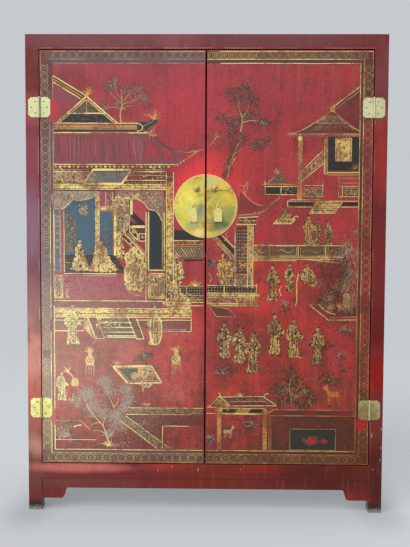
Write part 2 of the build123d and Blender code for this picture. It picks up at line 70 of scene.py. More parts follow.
def newMaterial(name):
    material = bpy.data.materials.new(name)
    material.use_nodes = True
    material.node_tree.nodes.clear()
    place = put(material.node_tree, "TexCoord").outputs["Object"]
    return material, material.node_tree, place


def coat(material, *names):
    # gives a material to the pieces whose names start so
    for name, piece in nodes.items():
        if name.startswith(names):
            piece.data.materials.clear()
            piece.data.materials.append(material)


def perMetre(sizeMm):
    # a texture's scale from the size of its features
    return 1 / (sizeMm * mm)


def tint(tree, base, colour, mask, low, high, most):
    # lays a colour over base where the mask runs from low to high
    if isinstance(base, str):
        base = linear(base)
    share = put(tree, "MapRange", {
        "Value": mask, "From Min": low, "From Max": high, "To Min": 0.0, "To Max": most})
    return put(tree, "Mix", {0: share, 6: base, 7: linear(colour)}, data_type="RGBA").outputs[2]


softEdge = {"ragged": 0.9, "start": 1.5, "full": 0.85}  # in half widths from a patch's middle


def patches(tree, place, base, spots, noise, edge=softEdge, share=1.0):
    # soft-edged patches at their own places: x, z, half width and half height in mm, colour, strength
    for x, z, reachX, reachZ, colour, strength in spots:
        shift = put(tree, "VectorMath", {0: place, 1: (x * mm, 0.0, z * mm)}, operation="SUBTRACT")
        scaled = put(tree, "VectorMath", {
            0: shift, 1: (1 / (reachX * mm), 0.0, 1 / (reachZ * mm))}, operation="MULTIPLY")
        away = put(tree, "VectorMath", {0: scaled}, operation="LENGTH")
        reached = put(tree, "Math", {
            0: noise, 1: edge["ragged"], 2: away.outputs["Value"]}, operation="MULTIPLY_ADD")
        base = tint(tree, base, colour, reached, edge["start"], edge["full"], strength * share)
    return base


# Old varnish over the painting, browner and darker towards the right foot; it also paints the shade away
# from the light on the left.
varnishAndShade = {"colour": "#DCB894", "slope": (0.75, 0.0, -0.30), "start": -0.28, "full": 0.32}


def varnishedAndShaded(tree, place, base):
    lean = put(tree, "VectorMath", {0: place, 1: varnishAndShade["slope"]}, operation="DOT_PRODUCT")
    depth = put(tree, "MapRange", {
        "Value": lean.outputs["Value"], "From Min": varnishAndShade["start"], "From Max": varnishAndShade["full"]})
    return put(tree, "Mix", {
        0: depth, 6: base, 7: linear(varnishAndShade["colour"])}, data_type="RGBA",
        blend_type="MULTIPLY").outputs[2]


# A dull pale bloom of dust and old wax on the lower left, over lacquer and paint alike, and a violet one on
# the left edge; both also paint the sheen of a light from the left.
bloomAndSheen = {
    "fleckMm": 9.0,
    "edge": {"ragged": 1.1, "start": 1.55, "full": 0.62},
    "onCrimson": 0.6,
    "onOxblood": 0.35,
    "onBand": 0.6,
    "spots": [
        (-560, 500, 560, 400, "#EAD6BE", 0.33),
        (-600, 870, 170, 330, "#A49AB8", 0.34),
    ],
}


def withBloomAndSheen(tree, place, base, share=1.0):
    flecks = put(tree, "TexNoise", {
        "Vector": place, "Scale": perMetre(bloomAndSheen["fleckMm"]), "Detail": 4.0, "Roughness": 0.8})
    return patches(tree, place, base, bloomAndSheen["spots"], flecks, bloomAndSheen["edge"], share)


# Red lacquer brushed over softwood: soft upright brush streaks, rubbed pink patches where hands and hardware
# have been, dirt settled in the brush marks, brown age towards the foot, a gloss gone satin. Its ground is
# paler and pinker on the left and darker on the right, which paints the light falling from the left.
crimson = {
    "upperLeft": "#A43E42",
    "upperRight": "#9C3436",
    "lowerLeft": "#9C3E38",
    "lowerRight": "#8A3024",
    "deep": "#7A2429",
    "rubbed": "#B4525A",
    "bright": "#BC303A",
    "grime": "#4A1F17",
    "dust": "#B98474",
    "soot": "#4E2E1C",
    "inside": "#7E2C28",  # never bleached
    "streakMm": 13.0,
    "cloudMm": 160.0,
    "grimeMm": 20.0,
    "sootMm": 42.0,
    "speckMm": 7.0,
    "fadeAcross": (-0.45, 0.40),  # x and z that the four ground colours blend between, in metres
    "fadeUp": (0.35, 1.25),
    "sootUp": (0.20, 0.85),  # z over which the soot thins out
    "faceDepth": (0.012, 0.014),  # the inner face's plain lacquer starts this far in
    "roughness": 0.34,
    "ior": 1.38,
    "spots": [
        (-60, 1360, 150, 150, "#B03440", 0.8),  # brighter high beside the joint of the doors
        (312, 1240, 50, 60, "#7A2422", 0.8),
        (-250, 1440, 260, 60, "#963642", 0.6),
        (-450, 1430, 70, 60, "#7C2E34", 0.8),
        (-330, 760, 190, 60, "#A85560", 0.7),  # rubbed pink
        (-60, 620, 110, 190, "#B0383C", 0.7),
        (-80, 440, 100, 70, "#B44A42", 0.7),
        (-300, 600, 150, 50, "#A85A56", 0.6),
        (10, 1050, 180, 160, "#CE323A", 0.95),  # kept bright round the lock plate
        (14, 1080, 120, 120, "#EC3C42", 0.9),
        (120, 1150, 90, 120, "#BC3634", 0.6),
        (118, 1040, 34, 80, "#C24A48", 0.8),
        (180, 740, 150, 70, "#BC342E", 0.85),
        (150, 690, 90, 40, "#C0362E", 0.8),
        (260, 790, 90, 60, "#B4322C", 0.8),
        (-80, 500, 90, 170, "#BC4440", 0.8),
        (280, 1400, 220, 110, "#963638", 0.6),
        (240, 640, 160, 60, "#B03228", 0.7),
        (440, 560, 70, 90, "#9C2E2C", 0.7),
        (330, 500, 60, 40, "#A83028", 0.7),
        (425, 760, 95, 140, "#58281E", 0.7),  # browned beside the rocks
        (60, 480, 130, 110, "#7C3024", 0.5),
        (165, 455, 70, 60, "#B03A2C", 0.85),
        (75, 378, 60, 60, "#C4442E", 0.9),
        (-242, 540, 60, 60, "#C05E58", 0.85),
        (-530, 200, 26, 40, "#CC9480", 0.9),
        (-95, 395, 50, 34, "#C4584E", 0.85),
        (160, 850, 50, 60, "#BC3A30", 0.8),
        (-400, 1405, 50, 60, "#842A2C", 0.7),
        (-80, 625, 70, 60, "#C4504C", 0.8),
        (390, 770, 40, 60, "#8E2C28", 0.6),
        (160, 610, 150, 70, "#6E2C20", 0.5),
        (-165, 612, 60, 34, "#C0504A", 0.7),
        (-480, 1335, 55, 62, "#C83E48", 0.95),  # fresh lacquer beside each hinge
        (-500, 322, 50, 58, "#BE323C", 0.95),
        (500, 1385, 30, 32, "#A8282E", 0.8),
        (520, 303, 24, 30, "#C63036", 0.95),
        (-470, 240, 120, 60, "#7A3C30", 0.6),
        (-230, 260, 150, 90, "#743A32", 0.5),
        (330, 250, 230, 90, "#4E2014", 0.8),
        (385, 315, 80, 40, "#A0321F", 0.9),
        (391, 298, 44, 44, "#B43824", 0.8),
        (75, 614, 46, 46, "#7E2426", 0.35),
    ],
}


def crimsonLacquer(tone):
    material, tree, place = newMaterial("crimsonLacquer")
    axes = put(tree, "SeparateXYZ", {0: place})
    across = put(tree, "MapRange", {
        "Value": axes.outputs["X"], "From Min": tone["fadeAcross"][0], "From Max": tone["fadeAcross"][1]},
        interpolation_type="SMOOTHSTEP")
    upward = put(tree, "MapRange", {
        "Value": axes.outputs["Z"], "From Min": tone["fadeUp"][0], "From Max": tone["fadeUp"][1]},
        interpolation_type="SMOOTHSTEP")
    upper = put(tree, "Mix", {
        0: across, 6: linear(tone["upperLeft"]), 7: linear(tone["upperRight"])},
        data_type="RGBA")
    lower = put(tree, "Mix", {
        0: across, 6: linear(tone["lowerLeft"]), 7: linear(tone["lowerRight"])},
        data_type="RGBA")
    base = put(tree, "Mix", {
        0: upward, 6: lower.outputs[2], 7: upper.outputs[2]}, data_type="RGBA").outputs[2]
    cloud = put(tree, "TexNoise", {
        "Vector": place, "Scale": perMetre(tone["cloudMm"]), "Detail": 5.0, "Roughness": 0.6})
    upright = put(tree, "Mapping", {"Vector": place, "Scale": (1.0, 1.0, 0.05)})
    streak = put(tree, "TexNoise", {
        "Vector": upright, "Scale": perMetre(tone["streakMm"]), "Detail": 3.0, "Roughness": 0.6})
    dirt = put(tree, "TexNoise", {
        "Vector": place, "Scale": perMetre(tone["grimeMm"]), "Detail": 6.0, "Roughness": 0.7})
    speck = put(tree, "TexNoise", {
        "Vector": place, "Scale": perMetre(tone["speckMm"]), "Detail": 2.0, "Roughness": 0.7})
    base = tint(tree, base, tone["deep"], cloud, 0.47, 0.66, 0.6)
    base = tint(tree, base, tone["bright"], cloud, 0.45, 0.30, 0.6)
    base = patches(tree, place, base, tone["spots"], cloud)
    smoke = put(tree, "TexNoise", {
        "Vector": place, "Scale": perMetre(tone["sootMm"]), "Detail": 6.0, "Roughness": 0.72})
    height = put(tree, "MapRange", {
        "Value": axes.outputs["Z"], "From Min": tone["sootUp"][0], "From Max": tone["sootUp"][1],
        "To Min": 0.13, "To Max": 0.0})
    sooty = put(tree, "Math", {0: smoke, 1: height}, operation="ADD")
    base = tint(tree, base, tone["bright"], smoke, 0.46, 0.34, 0.55)
    base = tint(tree, base, tone["soot"], sooty, 0.56, 0.74, 0.8)
    base = tint(tree, base, tone["rubbed"], streak, 0.50, 0.80, 0.32)
    base = tint(tree, base, tone["deep"], streak, 0.46, 0.22, 0.45)
    base = tint(tree, base, tone["grime"], dirt, 0.58, 0.72, 0.7)
    base = tint(tree, base, tone["grime"], speck, 0.56, 0.80, 0.5)
    base = tint(tree, base, tone["dust"], speck, 0.42, 0.22, 0.35)
    # the pale and violet bloom, which also paints sheen, on the lower left and the left edge
    base = withBloomAndSheen(tree, place, base, bloomAndSheen["onCrimson"])
    # the doors' inner faces are plain
    inner = tint(tree, tone["inside"], tone["deep"], cloud, 0.46, 0.66, 0.6)
    inner = tint(tree, inner, tone["rubbed"], streak, 0.54, 0.80, 0.3)
    inner = tint(tree, inner, tone["grime"], dirt, 0.56, 0.74, 0.5)
    behind = put(tree, "MapRange", {
        "Value": axes.outputs["Y"], "From Min": boardLow.y + tone["faceDepth"][0],
        "From Max": boardLow.y + tone["faceDepth"][1]})
    base = put(tree, "Mix", {0: behind, 6: base, 7: inner}, data_type="RGBA").outputs[2]
    bump = put(tree, "Bump", {"Height": streak, "Strength": 0.2, "Distance": 0.0006})
    gloss = put(tree, "MapRange", {
        "Value": dirt, "From Min": 0.3, "From Max": 0.7,
        "To Min": tone["roughness"] - 0.08, "To Max": tone["roughness"] + 0.14})
    shader = put(tree, "BsdfPrincipled", {
        "Base Color": base, "Roughness": gloss, "IOR": tone["ior"], "Normal": bump})
    put(tree, "OutputMaterial", {"Surface": shader})
    return material


coat(crimsonLacquer(crimson), "door_left_board", "door_right_board")

# Red-brown lacquer over the frame: it has bloomed to violet grey where dust reached it, and down the left
# post and along the top rail a painted sheen of light from the left makes it violet grey and pale salmon; it
# is rubbed to brown on the edges, and is worn to bare grey wood under the feet.
oxblood = {
    "body": "#702224",
    "deep": "#551816",
    "bright": "#862623",
    "rubbed": "#92463A",
    "edge": "#9A5A44",
    "bareWood": "#8E8880",
    "darkFootEnd": "#241F20",
    "streakMm": 9.0,
    "cloudMm": 120.0,
    "fleckMm": 5.0,
    "edgeMm": 1.6,
    "frontDepth": (0.05, 0.25),  # the front's own patches fade out along the sides over this, in metres
    "darkFootUp": (0.020, -0.004),  # z where the dark foot starts and is full, and where the bare wood does
    "bareUp": (-0.008, -0.020),
    "roughness": 0.27,
    "ior": 1.36,
    "spots": [
        # down the left post and along the top rail most of these patches paint the sheen of a light from the
        # left
        (-570, 1490, 60, 150, "#640E12", 0.95),
        (-330, 1560, 330, 50, "#783C40", 0.85),
        (-90, 1560, 90, 50, "#85484C", 0.8),
        (250, 1560, 380, 50, "#713A3E", 0.85),
        (-575, 1400, 50, 50, "#70181A", 0.9),
        (-570, 1325, 50, 70, "#A64650", 0.8),
        (-575, 1180, 60, 150, "#8C424C", 0.85),
        (-575, 960, 60, 150, "#8A5F72", 0.9),  # painted violet sheen over a dust bloom
        (-575, 720, 60, 110, "#84464C", 0.85),
        (-575, 520, 60, 130, "#C86C62", 0.95),  # painted highlight, pale salmon
        (-575, 400, 60, 75, "#B0281E", 0.95),
        (-575, 300, 60, 60, "#9E3E30", 0.9),
        (-566, 215, 46, 56, "#B8806A", 0.85),
        (-575, 120, 60, 90, "#663632", 0.85),
        (580, 1440, 60, 130, "#73393A", 0.85),
        (580, 1300, 50, 50, "#8A4A44", 0.8),
        (580, 1180, 60, 180, "#8E2C28", 0.9),
        (580, 850, 60, 150, "#6C201E", 0.9),
        (580, 640, 60, 100, "#5E1410", 0.85),
        (575, 470, 60, 90, "#860C06", 0.95),
        (580, 600, 60, 50, "#600C08", 0.85),
        (575, 270, 50, 90, "#6A2A22", 0.8),
        (575, 130, 50, 140, "#3C1006", 0.95),
        (-420, 146, 230, 22, "#C2665E", 0.95),
        (-100, 150, 150, 22, "#A2342A", 0.95),
        (160, 150, 160, 22, "#8E240E", 0.9),
        (420, 150, 150, 22, "#70200E", 0.9),
        (-400, 92, 220, 26, "#6A3430", 0.85),
        (20, 120, 220, 70, "#6C2416", 0.85),
        (400, 120, 240, 80, "#4C1408", 0.95),
    ],
}


def oxbloodLacquer(tone):
    material, tree, place = newMaterial("oxbloodLacquer")
    cloud = put(tree, "TexNoise", {
        "Vector": place, "Scale": perMetre(tone["cloudMm"]), "Detail": 4.0, "Roughness": 0.6})
    upright = put(tree, "Mapping", {"Vector": place, "Scale": (0.5, 0.5, 0.08)})
    lengthways = put(tree, "TexNoise", {
        "Vector": upright, "Scale": perMetre(tone["streakMm"]), "Detail": 3.0, "Roughness": 0.6})
    fleck = put(tree, "TexNoise", {
        "Vector": place, "Scale": perMetre(tone["fleckMm"]), "Detail": 4.0, "Roughness": 0.75})
    axes = put(tree, "SeparateXYZ", {0: place})
    base = tint(tree, tone["body"], tone["deep"], cloud, 0.46, 0.68, 0.8)
    base = tint(tree, base, tone["bright"], cloud, 0.47, 0.30, 0.7)
    facing = put(tree, "MapRange", {
        "Value": axes.outputs["Y"], "From Min": frontY + tone["frontDepth"][0],
        "From Max": frontY + tone["frontDepth"][1]})
    # the front's patches with their painted sheen, then the bloom, which also paints sheen
    fronts = withBloomAndSheen(tree, place, patches(tree, place, base, tone["spots"], cloud), bloomAndSheen["onOxblood"])
    base = put(tree, "Mix", {0: facing, 6: fronts, 7: base}, data_type="RGBA").outputs[2]
    base = tint(tree, base, tone["rubbed"], lengthways, 0.55, 0.80, 0.45)
    base = tint(tree, base, tone["deep"], lengthways, 0.45, 0.25, 0.5)
    base = tint(tree, base, tone["deep"], fleck, 0.56, 0.78, 0.5)
    base = tint(tree, base, tone["rubbed"], fleck, 0.42, 0.24, 0.3)
    # edges rubbed through: where a rounded normal leaves the true one
    soft = put(tree, "Bevel", {"Radius": tone["edgeMm"] * mm}, samples=4)
    sharp = put(tree, "NewGeometry")
    turned = put(tree, "VectorMath", {0: soft, 1: sharp.outputs["Normal"]}, operation="DOT_PRODUCT")
    worn = put(tree, "Math", {0: fleck, 1: 0.5, 2: turned.outputs["Value"]}, operation="MULTIPLY_ADD")
    base = tint(tree, base, tone["edge"], worn, 1.19, 1.02, 0.8)
    # bare, scuffed feet, darker towards the floor
    ragged = put(tree, "Math", {0: fleck, 1: -0.05, 2: axes.outputs["Z"]}, operation="MULTIPLY_ADD")
    base = tint(tree, base, tone["darkFootEnd"], ragged, *tone["darkFootUp"], 0.92)
    base = tint(tree, base, tone["bareWood"], ragged, *tone["bareUp"], 0.9)
    bump = put(tree, "Bump", {"Height": lengthways, "Strength": 0.2, "Distance": 0.0006})
    gloss = put(tree, "MapRange", {
        "Value": cloud, "From Min": 0.3, "From Max": 0.7,
        "To Min": tone["roughness"] - 0.06, "To Max": tone["roughness"] + 0.16})
    shader = put(tree, "BsdfPrincipled", {
        "Base Color": base, "Roughness": gloss, "IOR": tone["ior"], "Normal": bump})
    put(tree, "OutputMaterial", {"Surface": shader})
    return material


coat(oxbloodLacquer(oxblood), "post_", "top_rail", "bottom_rail", "side_panel", "top_panel", "apron",
     "spandrel")

# Unfinished softwood inside: pale straw with darker growth lines along each board, dust and age.
softwood = {
    "pale": "#B08A62",
    "dark": "#7A5638",
    "age": "#5C4432",
    "seam": "#2E2118",
    "ringMm": 9.0,
    "fibreMm": 1.6,
    "cloudMm": 140.0,
    "boardMm": 118.0,
    "seamMm": 1.6,
    "roughness": 0.72,
    "ior": 1.5,
}


def agedSoftwood(name, tone, along, joined=None):
    # along is the axis that the grain runs on, joined the axis that the boards are laid side by side on
    material, tree, place = newMaterial(name)
    lengthways = put(tree, "Mapping", {
        "Vector": place, "Scale": [0.04 if axis == along else 1.0 for axis in "xyz"]})
    rings = put(tree, "TexNoise", {
        "Vector": lengthways, "Scale": perMetre(tone["ringMm"]), "Detail": 4.0, "Roughness": 0.6})
    fibre = put(tree, "TexNoise", {
        "Vector": lengthways, "Scale": perMetre(tone["fibreMm"]), "Detail": 2.0, "Roughness": 0.5})
    cloud = put(tree, "TexNoise", {
        "Vector": place, "Scale": perMetre(tone["cloudMm"]), "Detail": 4.0, "Roughness": 0.6})
    base = tint(tree, tone["pale"], tone["dark"], rings, 0.44, 0.62, 0.8)
    base = tint(tree, base, tone["dark"], fibre, 0.5, 0.75, 0.4)
    base = tint(tree, base, tone["age"], cloud, 0.42, 0.68, 0.55)
    if joined:
        side = put(tree, "SeparateXYZ", {0: place}).outputs[joined]
        number = put(tree, "Math", {0: side, 1: tone["boardMm"] * mm}, operation="DIVIDE")
        plank = put(tree, "Math", {0: number}, operation="FLOOR")
        shade = put(tree, "TexWhiteNoise", {"W": plank}, noise_dimensions="1D")
        base = tint(tree, base, tone["dark"], shade.outputs["Value"], 0.0, 1.0, 0.45)
        edge = put(tree, "Math", {0: number}, operation="FRACT")
        nearest = put(tree, "Math", {0: edge, 1: 0.5}, operation="PINGPONG")
        base = tint(tree, base, tone["seam"], nearest, tone["seamMm"] / tone["boardMm"], 0.0, 0.9)
    bump = put(tree, "Bump", {"Height": fibre, "Strength": 0.3, "Distance": 0.0004})
    shader = put(tree, "BsdfPrincipled", {
        "Base Color": base, "Roughness": tone["roughness"], "IOR": tone["ior"], "Normal": bump})
    put(tree, "OutputMaterial", {"Surface": shader})
    return material


coat(agedSoftwood("agedSoftwoodAcross", softwood, "x", "Y"), "shelf_lower", "shelf_upper", "floor_board")
coat(agedSoftwood("agedSoftwoodUpright", softwood, "z", "X"), "back_panel")
coat(agedSoftwood("agedSoftwoodRail", softwood, "x"), "back_mid_rail", "door_left_battens",
     "door_right_battens")
coat(agedSoftwood("agedSoftwoodDeep", softwood, "y"), "shelf_rails", "top_bearer", "floor_bearer")
print("woods done")

# Sheet brass, cut, filed and hand polished: bright yellow metal under an olive and grey-blue patina that
# polishing has left in clouds, with a pale rim painted round the edge as its highlight and painted glints
# beside the left pull.
brassGrain = {"brushMm": 2.2, "pitMm": 4.0, "metallic": 0.9}
sheetBrass = {
    "bright": "#D1C559",
    "warm": "#C1A346",
    "olive": "#7C7A3D",
    "dark": "#4F4E2F",
    "metallic": 0.74,
    # a pale rim round the plate: a painted highlight on its edge
    "rim": ("#DCBA85", 0.0, 1019.0, 98.0, 103.5, 0.85),  # colour, x, z, radii it runs between, most
    "roughness": 0.34,
    "cloudMm": 34.0,
    "spots": [
        (-60, 1034, 50, 74, "#DDD15D", 0.95),  # polished brightest on the left
        (-74, 960, 26, 26, "#C6BD54", 0.9),
        (74, 1046, 36, 40, "#C9AE44", 0.9),
        (40, 1040, 26, 34, "#C0AE51", 0.8),
        (12, 1100, 36, 20, "#C2BE86", 0.85),
        (66, 1082, 46, 44, "#D9BF54", 0.9),
        (-15, 1000, 14, 40, "#8D9582", 0.85),  # grey-blue smear beside the joint
        (-44, 954, 34, 18, "#A1A076", 0.7),
        (-24, 932, 30, 20, "#DFC877", 0.95),
        (14, 1006, 9, 22, "#C69544", 0.85),
        (46, 964, 44, 34, "#686E4B", 0.95),
        (76, 994, 30, 34, "#848E51", 0.8),
        (14, 946, 14, 12, "#C08B4B", 0.85),
        # painted glints beside the left pull
        (-52, 1006, 9, 16, "#D4CE9C", 0.85),
        (-44, 1016, 7, 8, "#DBD8CA", 0.9),
    ],
}


def patinatedBrass(name, tone, strong=1.0):
    material, tree, place = newMaterial(name)
    cloud = put(tree, "TexNoise", {
        "Vector": place, "Scale": perMetre(tone["cloudMm"]), "Detail": 5.0, "Roughness": 0.62})
    upright = put(tree, "Mapping", {"Vector": place, "Scale": (1.0, 1.0, 0.12)})
    brushed = put(tree, "TexNoise", {
        "Vector": upright, "Scale": perMetre(brassGrain["brushMm"]), "Detail": 2.0, "Roughness": 0.6})
    pit = put(tree, "TexNoise", {
        "Vector": place, "Scale": perMetre(brassGrain["pitMm"]), "Detail": 4.0, "Roughness": 0.75})
    base = tint(tree, tone["bright"], tone["warm"], cloud, 0.42, 0.60, 0.8)
    base = tint(tree, base, tone["olive"], cloud, 0.50, 0.66, 0.8 * strong)
    base = patches(tree, place, base, tone["spots"], cloud)
    base = tint(tree, base, tone["dark"], pit, 0.60, 0.74, 0.65 * strong)
    # the painted edge highlight, where a tone has one
    if "rim" in tone:
        colour, x, z, start, full, most = tone["rim"]
        shift = put(tree, "VectorMath", {0: place, 1: (x * mm, 0.0, z * mm)}, operation="SUBTRACT")
        flat = put(tree, "VectorMath", {0: shift, 1: (1.0, 0.0, 1.0)}, operation="MULTIPLY")
        away = put(tree, "VectorMath", {0: flat}, operation="LENGTH")
        base = tint(tree, base, colour, away.outputs["Value"], start * mm, full * mm, most)
    gloss = put(tree, "MapRange", {
        "Value": cloud, "From Min": 0.35, "From Max": 0.65,
        "To Min": tone["roughness"] - 0.08, "To Max": tone["roughness"] + 0.18})
    bump = put(tree, "Bump", {"Height": brushed, "Strength": 0.12, "Distance": 0.0003})
    shader = put(tree, "BsdfPrincipled", {
        "Base Color": base, "Metallic": tone.get("metallic", brassGrain["metallic"]),
        "Roughness": gloss, "Normal": bump})
    put(tree, "OutputMaterial", {"Surface": shader})
    return material


hingeBrass = {
    "bright": "#BEBF8D", "warm": "#B3AE7A", "olive": "#919364", "dark": "#5D5B3C",
    "roughness": 0.36, "cloudMm": 18.0,
    "spots": [
        (528, 330, 70, 60, "#95794B", 0.9),  # the lower right hinge is browner
        (-536, 347, 70, 60, "#999763", 0.95),
        (-528, 1339, 60, 60, "#AEB388", 0.85),
        # a painted glint down the lower right hinge's pin
        (545, 347, 5, 60, "#C6C48F", 0.8),
        (528, 1339, 70, 60, "#CEC9A1", 0.9),
    ],
}
castBrass = {
    "bright": "#D5CD84", "warm": "#C0AC60", "olive": "#9A8F54", "dark": "#685B38",
    "roughness": 0.42, "cloudMm": 12.0, "spots": [],
}
handledBrass = {
    "bright": "#A99365", "warm": "#91784A", "olive": "#756439", "dark": "#423621",
    "roughness": 0.52, "cloudMm": 8.0, "spots": [],
}
darkBrass = {
    "bright": "#7A7243", "warm": "#665F34", "olive": "#504C2B", "dark": "#33301D",
    "roughness": 0.45, "cloudMm": 6.0, "spots": [],
}
coat(patinatedBrass("patinatedSheetBrass", sheetBrass), "lock_plate")
coat(patinatedBrass("sheetBrassHinge", hingeBrass, 0.7), "hinge_post", "hinge_door", "hinge_pins")
coat(patinatedBrass("castBrassPull", castBrass, 0.8), "pull_")
coat(patinatedBrass("handledBrassRing", handledBrass, 0.8), "lock_rosette", "lock_staple", "lock_pin")
coat(patinatedBrass("darkBrassNail", darkBrass), "hinge_nails")
print("brass done")

# Painting and gilding: thin films of oil paint and gold that lie on the doors' faces, drawn in millimetres.
# x is from the middle of the cabinet, z from the floor; what is left of the middle belongs to the left door.
# Each pigment: colour, what shows through where it has rubbed off, how much has, mm off the face, metallic
pigments = {
    "mauveWash": ("#80424A", "#8C3A42", 0.45, 0.12, 0.0),
    "umberWash": ("#5E2F28", "#82302F", 0.45, 0.12, 0.0),
    "brownWash": ("#50301F", "#6E3428", 0.40, 0.12, 0.0),
    "roseWash": ("#9E4C5A", "#9A3C42", 0.40, 0.12, 0.0),
    "redWash": ("#8E3034", "#9A3438", 0.40, 0.12, 0.0),
    "curtainGrey": ("#A49A84", "#86685A", 0.42, 0.22, 0.0),
    "curtainBrown": ("#8A6654", "#74483C", 0.42, 0.22, 0.0),
    "bandWash": ("#644A4A", "#6A4244", 0.45, 0.10, 0.0),
    "bandRed": ("#8A3432", "#6A2E28", 0.45, 0.12, 0.0),
    "slateBlue": ("#466070", "#36444C", 0.35, 0.22, 0.0),
    "boardGrey": ("#6C6864", "#8A7A64", 0.40, 0.22, 0.0),
    "charcoal": ("#201E1B", "#38291F", 0.30, 0.22, 0.0),
    "inkBlue": ("#1C262C", "#2A2824", 0.30, 0.22, 0.0),
    "darkGreen": ("#2A3024", "#342B20", 0.30, 0.22, 0.0),
    "umberShade": ("#43291C", "#5C3022", 0.35, 0.22, 0.0),
    "oliveFill": ("#5E523E", "#6C4636", 0.35, 0.22, 0.0),
    "tanFill": ("#A68458", "#84503A", 0.45, 0.22, 0.0),
    "giltFill": ("#CFB066", "#7A5838", 0.50, 0.28, 0.25),
    "giltLemon": ("#E6E084", "#8A7A48", 0.44, 0.40, 0.2),
    "giltFaded": ("#BC9E68", "#6E4A38", 0.50, 0.28, 0.2),
    "umberLeaf": ("#5C342A", "#7C3430", 0.40, 0.31, 0.0),
    "greyLeaf": ("#A69A92", "#86544C", 0.40, 0.31, 0.0),
    "umberInk": ("#40281C", "#64382A", 0.25, 0.34, 0.0),
    "blackInk": ("#241C18", "#3E241C", 0.25, 0.36, 0.0),
    "paleTone": ("#C0A47A", "#8E6A50", 0.35, 0.36, 0.0),
    "greenGrey": ("#7C7656", "#5E4636", 0.40, 0.32, 0.0),
    "freshRed": ("#B83038", "#A8303A", 0.30, 0.46, 0.0),
    "pinkPetal": ("#A8424A", "#7A3034", 0.30, 0.34, 0.0),
    "giltLine": ("#E2C880", "#7C5638", 0.44, 0.42, 0.25),
    "giltDull": ("#B89A68", "#7A4C38", 0.50, 0.39, 0.2),
    "giltOrange": ("#CC9148", "#8A4A2C", 0.44, 0.40, 0.25),
    "bandDull": ("#9A8070", "#70463E", 0.50, 0.39, 0.1),
}
pigmentLook = {
    "soil": "#3E2A20",
    "soilMm": 5.0,
    "wornMm": 8.0,
    "driftMm": 70.0,
    "wornFrom": 1.42,
    "wornFull": 1.62,
    "roughness": 0.44,
    "ior": 1.4,
}


def pigmentMaterial(name):
    # paint or gold laid in oil lacquer and rubbed thin, so that what is under it shows in small worn specks
    colour, under, wear, _, metallic = pigments[name]
    material, tree, place = newMaterial(name)
    fine = put(tree, "TexNoise", {
        "Vector": place, "Scale": perMetre(pigmentLook["wornMm"]), "Detail": 4.0, "Roughness": 0.7})
    broad = put(tree, "TexNoise", {
        "Vector": place, "Scale": perMetre(pigmentLook["driftMm"]), "Detail": 2.0, "Roughness": 0.5})
    soil = put(tree, "TexNoise", {
        "Vector": place, "Scale": perMetre(pigmentLook["soilMm"]), "Detail": 3.0, "Roughness": 0.7})
    both = put(tree, "Math", {0: fine, 1: broad}, operation="ADD")
    base = tint(tree, colour, under, both, pigmentLook["wornFrom"] - wear,
                pigmentLook["wornFull"] - wear, 0.85)
    base = tint(tree, base, pigmentLook["soil"], soil, 0.55, 0.75, 0.5)
    # darker to the right foot under the varnish, which also paints shade, then the bloom with its painted
    # sheen
    base = withBloomAndSheen(tree, place, varnishedAndShaded(tree, place, base), bloomAndSheen["onBand"] if name == "bandWash" else 1.0)
    inputs = {"Base Color": base, "Roughness": pigmentLook["roughness"], "Metallic": metallic}
    if not metallic:
        inputs["IOR"] = pigmentLook["ior"]
    shader = put(tree, "BsdfPrincipled", inputs)
    put(tree, "OutputMaterial", {"Surface": shader})
    return material


films = {}
laid = {"touches": 0}
# how the paint lies, in mm off the face
lie = {
    "back": -0.02,  # the back of every sheet is let into the face
    "wash": 0.06,
    "solid": 0.15,
    "gown": 0.245,
    "areaStep": 0.0012,  # an area lies this much over those painted before it
    "fleck": 0.24,
    "gownTouch": 0.27,
    "touchStep": 0.004,
    "touchSteps": 12,
    "dabPeak": 0.04,
}


def sheetFor(pigment, x, body=None):
    # the mesh lists of a pigment on a body, and the height of its next touch
    laid["touches"] += 1
    verts, faces = films.setdefault((body or ("door_left" if x < 0 else "door_right"), pigment), ([], []))
    off = pigments[pigment][3] + lie["touchStep"] * (laid["touches"] % lie["touchSteps"])
    return verts, faces, frontY - off * mm


def turning(outline):
    # twice the area, negative for an outline that runs clockwise
    return sum(a[0] * b[1] - b[0] * a[1] for a, b in zip(outline, outline[1:] + outline[:1]))


def sheet(pigment, outline, lift=None, body=None):
    # a closed thin sheet from an outline
    if turning(outline) < 0:
        outline = outline[::-1]
    verts, faces, top = sheetFor(pigment, outline[0][0], body)
    top = frontY - lift * mm if lift else top
    first, n = len(verts), len(outline)
    verts += [(x * mm, top, z * mm) for x, z in outline]
    verts += [(x * mm, frontY - lie["back"] * mm, z * mm) for x, z in outline]
    faces += [[first + i for i in range(n)], [first + n + i for i in reversed(range(n))]]
    for i in range(n):
        after = (i + 1) % n
        faces.append([first + i, first + n + i, first + n + after, first + after])


def film(pigment, outline, body=None):
    # an area of paint: washes lie lowest, then solid colours, each over those painted before it
    kind = "wash" if pigment.endswith("Wash") else "solid"
    layer = (body or ("left" if outline[0][0] < 0 else "right"), kind)
    laid[layer] = laid.get(layer, 0) + 1
    sheet(pigment, outline, lie[kind] + lie["areaStep"] * laid[layer], body)


def blocks(pigment, *boxes):
    # square areas: left, low, right, high
    for box in boxes:
        film(pigment, rect(*box))


def soft(pigment, *points, steps=3):
    # an area with a softly curved edge
    film(pigment, smooth(list(points), steps, True))


